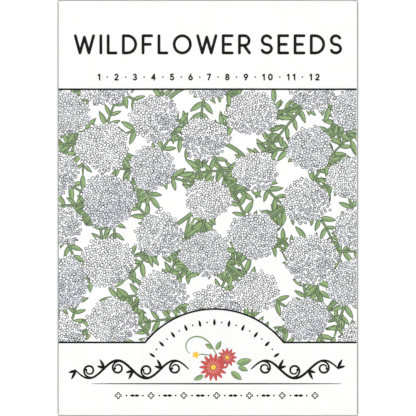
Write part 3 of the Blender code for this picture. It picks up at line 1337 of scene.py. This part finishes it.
@dataclass
class Artwork:
    """The picture in the window: lacy blooms in a half-drop layout over leafy sprigs.

    Angles that are drawn at random are in degrees.
    """

    sheet: PrintSheet
    rng: random.Random
    columns: int = 7
    rows: int = 5
    column_step: float = 13.7 * MM
    row_step: float = 15.8 * MM
    drop: float = 0.25
    shift: float = 1.6 * MM
    smallest: float = 5.9 * MM
    largest: float = 7.5 * MM
    shade_from: tuple[float, float] = (-0.3, 1.0)
    flatness: tuple[float, float] = (0.8, 1.0)
    sprig_headings: tuple[float, float] = (-150.0, -30.0)
    second_turns: tuple[float, float] = (80.0, 130.0)
    third_turns: tuple[float, float] = (210.0, 270.0)
    sprig_bend: float = 0.04 / MM
    sprig_lengths: tuple[float, float] = (13.0 * MM, 20.0 * MM)
    longest_link: float = 24.0 * MM
    link_sag: float = 0.15
    stem_width: float = 1.2 * MM
    stem_line: float = 0.2 * MM
    tuft_every: int = 5
    tuft_scatter: float = 3.0 * MM
    tuft_headings: tuple[float, float] = (20.0, 160.0)
    arch_steps: int = 56
    arch_margin: float = 2.0 * MM
    arch_overrun: float = 0.05

    def places(self) -> list[Vector]:
        """Draw up the half-drop layout, with every other column half a row higher.

        Returns:
            The blooms' middles.
        """
        middle = (LAYOUT.window_top + LAYOUT.window_bottom) / 2
        places = []
        for column in range(self.columns):
            x = (column - (self.columns - 1) / 2) * self.column_step
            drop = self.drop if column % 2 else -self.drop
            for row in range(self.rows):
                y = middle + (row - (self.rows - 1) / 2 + drop) * self.row_step
                away = flat(jitter(self.rng, 1.0), jitter(self.rng, 1.0))
                places.append(flat(x, y) + away * self.shift)
        return places

    def greenery(self, places: list[Vector]) -> None:
        """Lay the sprigs, bare stems and tufts that show between the blooms.

        Args:
            places: The blooms' middles.
        """
        for i, middle in enumerate(places):
            heading = math.radians(self.rng.uniform(*self.sprig_headings) + 180 * (i % 3 == 0))
            turns = (0.0, self.rng.uniform(*self.second_turns), self.rng.uniform(*self.third_turns))
            for turn in turns:
                bend = jitter(self.rng, self.sprig_bend)
                length = self.rng.uniform(*self.sprig_lengths)
                sprig = LeafSprig(middle, heading + math.radians(turn), length, bend, self.rng)
                sprig.draw(self.sheet)
            self.link(middle, places[(i + self.rows + i % 2) % len(places)])
            if i % self.tuft_every == 2:
                foot = middle + flat(self.column_step / 2, jitter(self.rng, self.tuft_scatter))
                heading = math.radians(self.rng.uniform(*self.tuft_headings))
                GrassTuft(foot, heading, self.rng).draw(self.sheet)

    def link(self, start: Vector, stop: Vector) -> None:
        """Lay a bare stem between two blooms' middles, a little bent, unless they lie far apart.

        Args:
            start: The first bloom's middle.
            stop: The second one's.
        """
        run = stop - start
        if run.length > self.longest_link:
            return
        sag = flat(-run.y, run.x) * jitter(self.rng, self.link_sag)
        steps = max(2, round(run.length / MM))
        path = [start + run * i / steps + sag * math.sin(math.pi * i / steps)
                for i in range(steps + 1)]
        lay_stem(self.sheet, path, [self.stem_width / 2] * (steps + 1), self.stem_line)

    def draw(self) -> None:
        """Lay the greenery and the blooms, and cut them to the window."""
        places = self.places()
        self.greenery(places)
        for i, middle in enumerate(places):
            radius = self.rng.uniform(self.smallest, self.largest)
            shade_from = self.rng.uniform(*self.shade_from)
            flatness = self.rng.uniform(*self.flatness)
            head = LacyHead(radius, shade_from, self.rng, flatness, tinted=i % 3 == 1)
            head.draw(self.sheet, middle)
        self.cut_to_window()

    def cut_to_window(self) -> None:
        """Cut the picture to the window's four straight sides and to the arch."""
        form = self.sheet.form
        bm = self.sheet.bm
        for point, inwards in ((flat(0.0, LAYOUT.window_top), flat(0.0, -1.0)),
                               (flat(0.0, LAYOUT.window_bottom), flat(0.0, 1.0)),
                               (flat(form.left, 0.0), flat(1.0, 0.0)),
                               (flat(form.right, 0.0), flat(-1.0, 0.0))):
            self.sheet.cut(bm.faces[:], point, inwards)
        # The arch is cut as a fan of narrow sectors, each by one straight plane
        half = LAYOUT.arch_half_angle + self.arch_overrun
        sectors = [[] for _ in range(self.arch_steps)]
        for face in bm.faces:
            away = face.calc_center_median() - LAYOUT.on_arch(0.0, 0.0)
            share = (math.atan2(away.x, away.y) + half) / (2 * half)
            if 0.0 <= share < 1.0 and away.xy.length < LAYOUT.arch_radius + self.arch_margin:
                sectors[int(share * self.arch_steps)].append(face)
        for i, faces in enumerate(sectors):
            angle = (i + 0.5) / self.arch_steps * 2 * half - half
            alive = [face for face in faces if face.is_valid]
            self.sheet.cut(alive, LAYOUT.on_arch(angle, LAYOUT.arch_radius), LAYOUT.arch_out(angle))


@dataclass
class FrameRules:
    """The black rules above and below the picture, with the arch between them."""

    sheet: PrintSheet
    step: float = 1.4 * MM
    arch_steps: int = 48

    def rule(self, start: Vector, stop: Vector) -> None:
        """Lay one straight rule, in steps that follow the paper.

        Args:
            start: Its left end.
            stop: Its right end.
        """
        count = max(1, round((stop - start).length / self.step))
        path = [start.lerp(stop, i / count) for i in range(count + 1)]
        halves = [LAYOUT.rule_width / 2] * len(path)
        self.sheet.lay(ribbon(path, halves, Ink.BLACK), self.sheet.black)

    def draw(self) -> None:
        """Lay the two rules and the arch."""
        form = self.sheet.form
        top = LAYOUT.window_top
        bottom = LAYOUT.window_bottom
        self.rule(flat(form.left, top), flat(form.right, top))
        half = LAYOUT.arch_half_angle
        angles = [half * (2 * i / self.arch_steps - 1) for i in range(self.arch_steps + 1)]
        arch = [LAYOUT.on_arch(angle, LAYOUT.arch_radius) for angle in angles]
        self.rule(flat(form.left, bottom), arch[0])
        self.rule(arch[-1], flat(form.right, bottom))
        self.sheet.stroke(arch, LAYOUT.rule_width, Ink.BLACK, self.sheet.black)


def line(*points: tuple[float, float]) -> list[list[tuple[float, float]]]:
    """Return straight strokes, one for each pair of neighbouring points."""
    return [[a, b] for a, b in zip(points, points[1:])]


# A letter's round stroke is drawn with a point at least every so many degrees
ARC_STEP = 15


def arc(x: float, y: float, across: float, up: float, start: float, stop: float) -> list:
    """Return a round stroke.

    Args:
        x: The middle's place across.
        y: The middle's height.
        across: The half width.
        up: The half height.
        start: The first angle, in degrees.
        stop: The last angle, in degrees.

    Returns:
        One stroke, as a list of points.
    """
    count = max(4, round(abs(stop - start) / ARC_STEP))
    angles = [math.radians(start + (stop - start) * i / count) for i in range(count + 1)]
    return [[(x + across * math.cos(a), y + up * math.sin(a)) for a in angles]]


# The width and strokes of each plain capital and figure, for a height of 1
GLYPHS = {
    "D": (0.72, line((0.22, 1), (0, 1), (0, 0), (0.22, 0)) + arc(0.22, 0.5, 0.5, 0.5, 90, -90)),
    "E": (0.52, line((0.52, 1), (0, 1), (0, 0), (0.52, 0)) + line((0, 0.5), (0.43, 0.5))),
    "F": (0.50, line((0.50, 1), (0, 1), (0, 0)) + line((0, 0.5), (0.42, 0.5))),
    "I": (0.0, line((0, 0), (0, 1))),
    "L": (0.46, line((0, 1), (0, 0), (0.46, 0))),
    "O": (0.94, arc(0.47, 0.5, 0.47, 0.5, 0, 360)),
    "R": (0.58, line((0.28, 0.44), (0, 0.44)) + line((0, 0), (0, 1), (0.28, 1))
          + arc(0.28, 0.72, 0.28, 0.28, 90, -90) + line((0.26, 0.44), (0.58, 0))),
    "S": (0.56, arc(0.28, 0.745, 0.26, 0.255, 28, 270) + arc(0.28, 0.245, 0.28, 0.245, 90, -158)),
    "W": (1.06, line((0, 1), (0.27, 0), (0.53, 0.92), (0.79, 0), (1.06, 1))),
    "0": (0.62, arc(0.31, 0.5, 0.31, 0.5, 0, 360)),
    "1": (0.24, line((0, 0.8), (0.24, 1), (0.24, 0))),
    "2": (0.56, arc(0.28, 0.73, 0.26, 0.27, 165, -40) + line((0.48, 0.56), (0, 0), (0.56, 0))),
    "3": (0.54, arc(0.26, 0.75, 0.23, 0.25, 150, -90) + arc(0.26, 0.25, 0.28, 0.25, 90, -150)),
    "4": (0.62, line((0.46, 0), (0.46, 1), (0, 0.28), (0.62, 0.28))),
    "5": (0.54, line((0.48, 1), (0.08, 1), (0.04, 0.55)) + arc(0.24, 0.31, 0.3, 0.31, 130, -150)),
    "6": (0.58, arc(0.29, 0.3, 0.29, 0.3, 0, 360) + line((0.04, 0.43), (0.36, 1))),
    "7": (0.52, line((0, 1), (0.52, 1), (0.16, 0))),
    "8": (0.56, arc(0.28, 0.76, 0.22, 0.24, 0, 360) + arc(0.28, 0.26, 0.28, 0.26, 0, 360)),
    "9": (0.58, arc(0.29, 0.7, 0.29, 0.3, 0, 360) + line((0.54, 0.57), (0.22, 0))),
    ".": (0.0, line((0, 0.48), (0, 0.52))),
}


@dataclass
class Lettering:
    """One line of round-ended capitals or figures, spread evenly between two sides."""

    sheet: PrintSheet
    text: str
    left: float
    right: float
    base: float
    cap: float
    stroke: float
    word_space: float = 1.7
    step: float = 1.4 * MM

    def draw(self) -> None:
        """Lay the letters, with the space between them that fills the line."""
        cap = self.cap - self.stroke
        gaps = 0.0
        letters = 0.0
        for this, after in zip(self.text, self.text[1:] + " "):
            if this == " ":
                gaps += self.word_space
            else:
                letters += GLYPHS[this][0] * cap
                gaps += after != " "
        gap = (self.right - self.left - self.stroke - letters) / gaps
        x = self.left + self.stroke / 2
        for this, after in zip(self.text, self.text[1:] + " "):
            if this == " ":
                x += gap * self.word_space
                continue
            width, strokes = GLYPHS[this]
            for points in strokes:
                self.letter_stroke([flat(x + across * cap, self.base + self.stroke / 2 + up * cap)
                                    for across, up in points])
            x += width * cap + gap * (after != " ")

    def letter_stroke(self, path: list[Vector]) -> None:
        """Lay one stroke of a letter, in steps that follow the paper.

        Args:
            path: The points of its middle line, two of them if it is straight.
        """
        if len(path) == 2:
            count = max(1, round((path[1] - path[0]).length / self.step))
            path = [path[0].lerp(path[1], i / count) for i in range(count + 1)]
        self.sheet.stroke(path, self.stroke, Ink.BLACK, self.sheet.black)


# A solid leaf has an edge and an inside in one ink, and its edge is this wide
SOLID_EDGE = 0.06 * MM


def lay_black_leaf(sheet: PrintSheet, foot: Vector, heading: float, length: float,
                   width: float) -> None:
    """Lay a small solid black leaf.

    Args:
        sheet: The print.
        foot: Where its foot is.
        heading: Where it points.
        length: Its length.
        width: Its width.
    """
    leaf = LanceLeaf(length, width, line_width=SOLID_EDGE, line_ink=Ink.BLACK, light=Ink.BLACK,
                     dark=Ink.BLACK)
    leaf.draw(sheet, foot, heading, sheet.badge)


@dataclass(frozen=True)
class VineScroll:
    """A black vine scroll: a waving stem, with a curl in each hollow and leaves where it turns."""

    start: float
    stop: float
    half_waves: int
    middle_y: float = -44.3 * MM
    rise: float = 2.45 * MM
    line_width: float = 0.7 * MM
    swell: float = 0.4
    steps: int = 24
    curl_from: float = 0.3
    curl_length: float = 11.2 * MM
    curl_bend: float = 0.40 / MM
    curl_tighter: float = 0.72 / MM
    curl_line: float = 0.58 * MM
    curl_thin: float = 0.5
    curl_dot: float = 0.34 * MM
    joint_back: float = 0.4 * MM
    joint_off: float = 0.35 * MM
    leaf_leans: tuple[float, float] = (math.radians(62), math.radians(15))
    leaf_lengths: tuple[float, float] = (2.8 * MM, 2.2 * MM)
    leaf_width: float = 0.8 * MM

    @property
    def side(self) -> float:
        """1 if the scroll runs to the right, -1 if it runs to the left."""
        return 1.0 if self.stop > self.start else -1.0

    @property
    def reach(self) -> float:
        """How far across one half wave goes."""
        return (self.stop - self.start) / self.half_waves

    def on_stem(self, wave: float) -> Vector:
        """Return the stem's point that many half waves from its start."""
        rise = self.rise * math.sin(math.pi * wave)
        return flat(self.start + self.reach * wave, self.middle_y + rise)

    def draw_curl(self, sheet: PrintSheet, wave: int, up: float) -> None:
        """Lay the curl that leaves one half wave of the stem and winds up in its hollow.

        Args:
            sheet: The print.
            wave: The half wave's number.
            up: 1 if that half wave rises above the middle, -1 if it falls below.
        """
        slope = up * self.rise * math.pi / abs(self.reach) * math.cos(math.pi * self.curl_from)
        turn = -up * self.side
        curl = winding(self.on_stem(wave + self.curl_from), math.atan2(slope, self.side),
                       self.curl_length, turn * self.curl_bend, turn * self.curl_tighter)
        level = sheet.badge + sheet.badge_step
        sheet.brush(curl, self.curl_line, Ink.BLACK, level, thin=self.curl_thin)
        sheet.dot(curl[-1], self.curl_dot, Ink.BLACK, level)

    def draw(self, sheet: PrintSheet) -> None:
        """Lay the whole scroll.

        Args:
            sheet: The print.
        """
        stem = [self.on_stem(i / self.steps) for i in range(self.half_waves * self.steps + 1)]
        sheet.brush(stem, self.line_width, Ink.BLACK, sheet.badge, swell=self.swell)
        for wave in range(self.half_waves):
            up = -1.0 if wave % 2 else 1.0
            self.draw_curl(sheet, wave, up)
            joint = flat(self.start + self.reach * (wave + 1) - self.side * self.joint_back,
                         self.middle_y + up * self.joint_off)
            for lean, length in zip(self.leaf_leans, self.leaf_lengths):
                heading = math.atan2(up * math.sin(lean), self.side * math.cos(lean))
                lay_black_leaf(sheet, joint, heading, length, self.leaf_width)


@dataclass(frozen=True)
class RedBloom:
    """One red bloom, seen from above: two rings of petals round a yellow eye."""

    x: float
    y: float
    radius: float
    petals: int
    inner_ring: float = 0.62
    petal_overlap: float = 3.9
    keenness: float = 0.2
    line_width: float = 0.12 * MM
    eye_rim: float = 0.25
    eye: float = 0.19

    def draw(self, sheet: PrintSheet, level: float) -> None:
        """Lay the petals, with neighbours on levels of their own, and then the eye.

        Args:
            sheet: The print.
            level: How high above the paper its lowest petals lie.
        """
        middle = flat(self.x, self.y)
        step = sheet.badge_step
        for ring, (reach, fill) in enumerate(((1.0, Ink.RED), (self.inner_ring, Ink.PALE_RED))):
            length = self.radius * reach
            petal = LanceLeaf(length, self.petal_overlap * length / self.petals,
                              line_width=self.line_width, line_ink=Ink.DEEP_RED, light=fill,
                              dark=fill, keenness=self.keenness)
            for i in range(self.petals):
                angle = math.tau * (i + 0.5 * ring) / self.petals
                petal.draw(sheet, middle, angle, level + step * (2 * ring + i % 2))
        sheet.dot(middle, self.radius * self.eye_rim, Ink.DEEP_RED, level + 4 * step)
        sheet.dot(middle, self.radius * self.eye, Ink.YELLOW, level + 5 * step)


@dataclass(frozen=True)
class Posy:
    """The badge's two red blooms with their leaves, a tendril, and a twig with a yellow bud."""

    small: RedBloom = RedBloom(x=5.3 * MM, y=-41.0 * MM, radius=2.7 * MM, petals=12)
    large: RedBloom = RedBloom(x=1.5 * MM, y=-43.7 * MM, radius=3.9 * MM, petals=14)
    # Each leaf's foot, across and up, with its angle in degrees and its size
    leaves: tuple[tuple[float, float, float, float], ...] = (
        (7.9 * MM, -42.7 * MM, 14.0, 1.15), (6.4 * MM, -44.9 * MM, -38.0, 1.0),
        (8.3 * MM, -43.6 * MM, -22.0, 0.8), (-1.2 * MM, -46.0 * MM, 205.0, 0.8),
        (1.5 * MM, -38.6 * MM, 150.0, 0.7), (2.3 * MM, -38.9 * MM, 62.0, 0.75))
    leaf_length: float = 3.7 * MM
    leaf_width: float = 1.75 * MM
    leaf_line: float = 0.12 * MM
    tendril_x: float = 2.6 * MM
    tendril_y: float = -41.0 * MM
    tendril_heading: float = math.radians(112)
    tendril_length: float = 15.5 * MM
    tendril_tighter: float = 0.5 / MM
    tendril_line: float = 0.42 * MM
    twig_x: float = 1.2 * MM
    twig_y: float = -40.6 * MM
    twig_heading: float = math.radians(165)
    twig_length: float = 4.6 * MM
    twig_bend: float = 0.05 / MM
    twig_tighter: float = 0.1 / MM
    twig_line: float = 0.36 * MM
    bud_petals: int = 5
    bud_length: float = 1.05 * MM
    bud_width: float = 0.8 * MM
    bud_line: float = 0.08 * MM

    def draw(self, sheet: PrintSheet) -> None:
        """Lay the leaves, the tendril, the twig with its bud, and the blooms on top.

        Args:
            sheet: The print.
        """
        low = sheet.badge
        step = sheet.badge_step
        for x, y, turn, size in self.leaves:
            leaf = LanceLeaf(self.leaf_length * size, self.leaf_width * size,
                             line_width=self.leaf_line)
            leaf.draw(sheet, flat(x, y), math.radians(turn), low)
        tendril = winding(flat(self.tendril_x, self.tendril_y), self.tendril_heading,
                          self.tendril_length, 0.0, self.tendril_tighter)
        sheet.brush(tendril, self.tendril_line, Ink.LEAF_DARK, low + step)
        twig = winding(flat(self.twig_x, self.twig_y), self.twig_heading, self.twig_length,
                       self.twig_bend, self.twig_tighter)
        sheet.brush(twig, self.twig_line, Ink.LEAF_DARK, low + 2 * step)
        petal = LanceLeaf(self.bud_length, self.bud_width, line_width=self.bud_line,
                          line_ink=Ink.YELLOW, light=Ink.YELLOW, dark=Ink.YELLOW)
        for i in range(self.bud_petals):
            petal.draw(sheet, twig[-1], math.tau * i / self.bud_petals, low + (3 + i) * step)
        self.small.draw(sheet, low + 2 * step)
        self.large.draw(sheet, low + 8 * step)


@dataclass
class Badge:
    """The band below the picture: a posy between vine scrolls, under an ornament arc."""

    sheet: PrintSheet
    left_scroll: VineScroll = VineScroll(start=-5.2 * MM, stop=-36.6 * MM, half_waves=4)
    right_scroll: VineScroll = VineScroll(start=11.8 * MM, stop=36.0 * MM, half_waves=3)
    rule_y: float = -48.25 * MM
    rule_left: float = -32.0 * MM
    rule_right: float = 36.95 * MM
    rule_line: float = 0.36 * MM
    rule_thin: float = 0.2
    rule_swell: float = 0.4
    rule_steps: int = 60
    arc_count: int = 21
    arc_radius: float = 20.6 * MM
    arc_half_angle: float = math.radians(56)
    arc_dot: float = 0.24 * MM
    lozenge_length: float = 1.9 * MM
    lozenge_width: float = 0.75 * MM
    row_y: float = -51.5 * MM
    row_left: float = -24.6 * MM
    row_right: float = 29.4 * MM
    row_count: int = 25
    row_dot: float = 0.25 * MM
    row_leaf_length: float = 1.3 * MM
    row_leaf_width: float = 0.7 * MM
    ring_radius: float = 0.66 * MM
    ring_wave: float = 0.2 * MM
    ring_line: float = 0.28 * MM
    ring_steps: int = 32

    def ornament_arc(self) -> None:
        """Lay lozenges and dots in turn along an arc inside the arch."""
        for i in range(self.arc_count):
            angle = (2 * i / (self.arc_count - 1) - 1) * self.arc_half_angle
            if i % 2:
                middle = LAYOUT.on_arch(angle, self.arc_radius)
                self.sheet.dot(middle, self.arc_dot, Ink.BLACK, self.sheet.badge)
            else:
                foot = LAYOUT.on_arch(angle, self.arc_radius - self.lozenge_length / 2)
                lay_black_leaf(self.sheet, foot, math.pi / 2 - angle, self.lozenge_length,
                               self.lozenge_width)

    def ring(self, middle: Vector) -> None:
        """Lay a small four-petalled ring.

        Args:
            middle: Its middle.
        """
        turns = [math.tau * k / self.ring_steps for k in range(self.ring_steps + 1)]
        path = [middle + pointing(a) * (self.ring_radius + self.ring_wave * math.cos(4 * a))
                for a in turns]
        self.sheet.stroke(path, self.ring_line, Ink.BLACK, self.sheet.badge)

    def ornament_row(self) -> None:
        """Lay four-petalled rings, dots and leaves in turn along the foot."""
        for i in range(self.row_count):
            share = i / (self.row_count - 1)
            middle = flat(self.row_left + (self.row_right - self.row_left) * share, self.row_y)
            if i % 2:
                self.sheet.dot(middle, self.row_dot, Ink.BLACK, self.sheet.badge)
            elif i % 4:
                for heading in (0.0, math.pi):
                    lay_black_leaf(self.sheet, middle, heading, self.row_leaf_length,
                                   self.row_leaf_width)
            else:
                self.ring(middle)

    def draw(self) -> None:
        """Lay the whole band."""
        self.ornament_arc()
        self.left_scroll.draw(self.sheet)
        self.right_scroll.draw(self.sheet)
        Posy().draw(self.sheet)
        left = flat(self.rule_left, self.rule_y)
        right = flat(self.rule_right, self.rule_y)
        rule = [left.lerp(right, i / self.rule_steps) for i in range(self.rule_steps + 1)]
        self.sheet.brush(rule, self.rule_line, Ink.BLACK, self.sheet.badge, self.rule_thin,
                         self.rule_swell)
        self.ornament_row()


@dataclass
class SeedFill:
    """The seeds inside: a settled heap, and a few that lie round it."""

    form: PacketForm = FORM
    length: float = 3.7 * MM
    width: float = 1.85 * MM
    height: float = 1.0 * MM
    ribs: int = 6
    rib_depth: float = 0.12
    sides: int = 12
    rings: int = 6
    heap_half_width: float = 17.0 * MM
    heap_half_length: float = 21.5 * MM
    heap_y: float = -10.0 * MM
    heap_seeds: int = 330
    layers: int = 3
    least_lift: float = 0.25
    roll: float = 0.15
    clearance: float = 0.3 * MM
    loose: int = 16
    loose_size: float = 0.97

    def grain(self) -> bpy.types.Mesh:
        """Model one seed: a flattened oval grain with ribs along it.

        Returns:
            The seed, lying along +X, to stamp.
        """
        bm = bmesh.new()
        lengthwise = Matrix.Rotation(math.pi / 2, 4, "Y")
        bmesh.ops.create_uvsphere(bm, u_segments=self.sides, v_segments=self.rings, radius=1.0,
                                  matrix=lengthwise)
        for vert in bm.verts:
            angle = math.atan2(vert.co.z, vert.co.y)
            rib = 1.0 - self.rib_depth * (0.5 - 0.5 * math.cos(self.ribs * angle))
            vert.co.y *= rib * self.width / 2
            vert.co.z *= rib * self.height / 2
            vert.co.x *= self.length / 2
        for face in bm.faces:
            face.smooth = True
        return as_pattern(bm)

    def floor(self, x: float, y: float) -> float:
        """Return the lowest height that the fill may reach."""
        return self.form.back(x, y) + self.form.paper / 2 + self.clearance

    def roof(self, x: float, y: float) -> float:
        """Return the greatest height that the fill may reach."""
        return self.form.front(x, y) - self.form.paper / 2 - self.clearance

    def heap(self, rng: random.Random, husk: bpy.types.Material) -> None:
        """Build the heap, layers of seeds that thin out towards its edge.

        Args:
            rng: Where the random numbers come from.
            husk: The husk's material.
        """
        grain = self.grain()
        bm = bmesh.new()
        for k in range(self.heap_seeds):
            share = math.sqrt((k + 0.5) / self.heap_seeds)
            angle = k * GOLDEN_ANGLE
            x = self.heap_half_width * share * math.cos(angle)
            y = self.heap_y + self.heap_half_length * share * math.sin(angle)
            room = self.roof(x, y) - self.floor(x, y) - self.height
            for layer in range(self.layers):
                lift = layer / (self.layers - 1) * (1.0 - share * share)
                if layer and room * lift < self.least_lift * self.height:
                    continue
                z = self.floor(x, y) + self.height / 2 + room * lift
                turn = Matrix.Rotation(rng.uniform(0.0, math.pi), 4, "Z")
                roll = Matrix.Rotation(jitter(rng, self.roll), 4, "X")
                stamp(bm, grain, Matrix.Translation((x, y, z)) @ turn @ roll)
        bpy.data.meshes.remove(grain)
        add_piece("seed_heap_husks", bm, [husk], ("seed_heap",))

    def loose_seeds(self, husk: bpy.types.Material) -> None:
        """Build each loose seed where its CAD solid lies, turned as that is.

        Args:
            husk: The husk's material.
        """
        grain = self.grain()
        for k in range(1, self.loose + 1):
            node = f"loose_seed_{k:02d}"
            low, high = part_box(node)
            points = [v.co.xy - ((low + high) / 2).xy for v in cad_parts[node].data.vertices]
            spread_xx = sum(p.x * p.x for p in points)
            spread_yy = sum(p.y * p.y for p in points)
            spread_xy = sum(p.x * p.y for p in points)
            turn = math.atan2(2 * spread_xy, spread_xx - spread_yy) / 2
            bm = bmesh.new()
            place = Matrix.Translation((low + high) / 2) @ Matrix.Rotation(turn, 4, "Z")
            stamp(bm, grain, place @ Matrix.Scale(self.loose_size, 4))
            add_piece(f"{node}_husk", bm, [husk], (node,))
        bpy.data.meshes.remove(grain)

    def build(self, rng: random.Random) -> None:
        """Build the heap and the loose seeds.

        Args:
            rng: Where the random numbers come from.
        """
        husk = SeedHusk().build()
        self.heap(rng, husk)
        self.loose_seeds(husk)


@dataclass(frozen=True)
class SoftLight:
    """A square soft light that hangs far above and points at the packet."""

    name: str
    place: tuple[float, float, float]
    size: float
    power: float

    def hang(self) -> None:
        """Hang the light."""
        data = bpy.data.lights.new(self.name, "AREA")
        data.size = self.size
        data.energy = self.power
        lamp = bpy.data.objects.new(self.name, data)
        lamp.location = self.place
        lamp.rotation_euler = (-Vector(self.place)).to_track_quat("-Z", "Y").to_euler()
        bpy.context.scene.collection.objects.link(lamp)


@dataclass(frozen=True)
class Studio:
    """A pale floor, soft light between white walls, and a camera that looks straight down."""

    frame_width: float = 114.28 * MM
    lens: float = 240.0
    sensor: float = 36.0
    nearest: float = 0.01
    farthest: float = 20.0
    aim_x: float = 0.035 * MM
    rim_height: float = 1.3 * MM
    floor_size: float = 1.6
    floor_cells: int = 8
    floor_gap: float = 0.02 * MM
    walls: float = 0.93
    ceiling: float = 0.34
    wall_top: float = 0.1
    ceiling_start: float = 0.35
    key: SoftLight = SoftLight("key_light", place=(-0.45, 0.63, 4.95), size=1.8, power=156.0)
    fill: SoftLight = SoftLight("fill_light", place=(1.35, -1.08, 4.05), size=2.7, power=31.4)

    def floor(self) -> None:
        """Lay the floor just under the packet."""
        bm = bmesh.new()
        bmesh.ops.create_grid(bm, x_segments=self.floor_cells, y_segments=self.floor_cells,
                              size=self.floor_size)
        bmesh.ops.translate(bm, verts=bm.verts[:], vec=(0.0, 0.0, -self.floor_gap))
        mesh = bpy.data.meshes.new("studio_floor")
        bm.to_mesh(mesh)
        bm.free()
        mesh.materials.append(StudioFloor().build())
        floor = bpy.data.objects.new("studio_floor", mesh)
        bpy.context.scene.collection.objects.link(floor)

    def camera(self) -> None:
        """Set the camera above the packet, so that the packet fills the frame's height."""
        data = bpy.data.cameras.new("camera")
        data.lens = self.lens
        data.sensor_width = self.sensor
        data.clip_start = self.nearest
        data.clip_end = self.farthest
        camera = bpy.data.objects.new("camera", data)
        distance = self.frame_width * self.lens / self.sensor
        camera.location = (self.aim_x, 0.0, self.rim_height + distance)
        bpy.context.scene.collection.objects.link(camera)
        bpy.context.scene.camera = camera

    def room(self) -> None:
        """Surround the packet with bright white walls under a dimmer ceiling."""
        world = bpy.data.worlds.new("studio_room")
        world.use_nodes = True
        tree = world.node_tree
        tree.nodes.clear()
        direction = add_node(tree, "ShaderNodeTexCoord", {}, {}).outputs["Generated"]
        height = add_node(tree, "ShaderNodeSeparateXYZ", {}, {"Vector": direction}).outputs["Z"]
        strength = add_node(tree, "ShaderNodeMapRange",
                            {"From Min": self.wall_top, "From Max": self.ceiling_start,
                             "To Min": self.walls, "To Max": self.ceiling},
                            {"Value": height}).outputs["Result"]
        glow = add_node(tree, "ShaderNodeBackground", {"Color": (1.0, 1.0, 1.0, 1.0)},
                        {"Strength": strength})
        add_node(tree, "ShaderNodeOutputWorld", {}, {"Surface": glow.outputs["Background"]})
        bpy.context.scene.world = world

    def build(self) -> None:
        """Build the floor, the lights, the camera and the room, and set the view."""
        self.floor()
        self.key.hang()
        self.fill.hang()
        self.camera()
        self.room()
        bpy.context.scene.view_settings.view_transform = "Standard"


def main() -> None:
    """Build every piece, then the studio, and note the sizes."""
    logging.basicConfig(level=logging.INFO, format="%(message)s")
    rng = random.Random(FIRST_DRAW)
    Envelope().build()
    sheet = PrintSheet()
    Artwork(sheet, rng).draw()
    FrameRules(sheet).draw()
    Lettering(sheet, "WILDFLOWER SEEDS", left=-36.8 * MM, right=36.85 * MM, base=42.17 * MM,
              cap=5.53 * MM, stroke=0.8 * MM).draw()
    Lettering(sheet, " . ".join(str(month) for month in range(1, 13)), left=-30.3 * MM,
              right=30.7 * MM, base=35.0 * MM, cap=1.9 * MM, stroke=0.4 * MM).draw()
    Badge(sheet).draw()
    sheet.finish()
    SeedFill().build(rng)
    Studio().build()


if __name__ == "__main__":
    main()
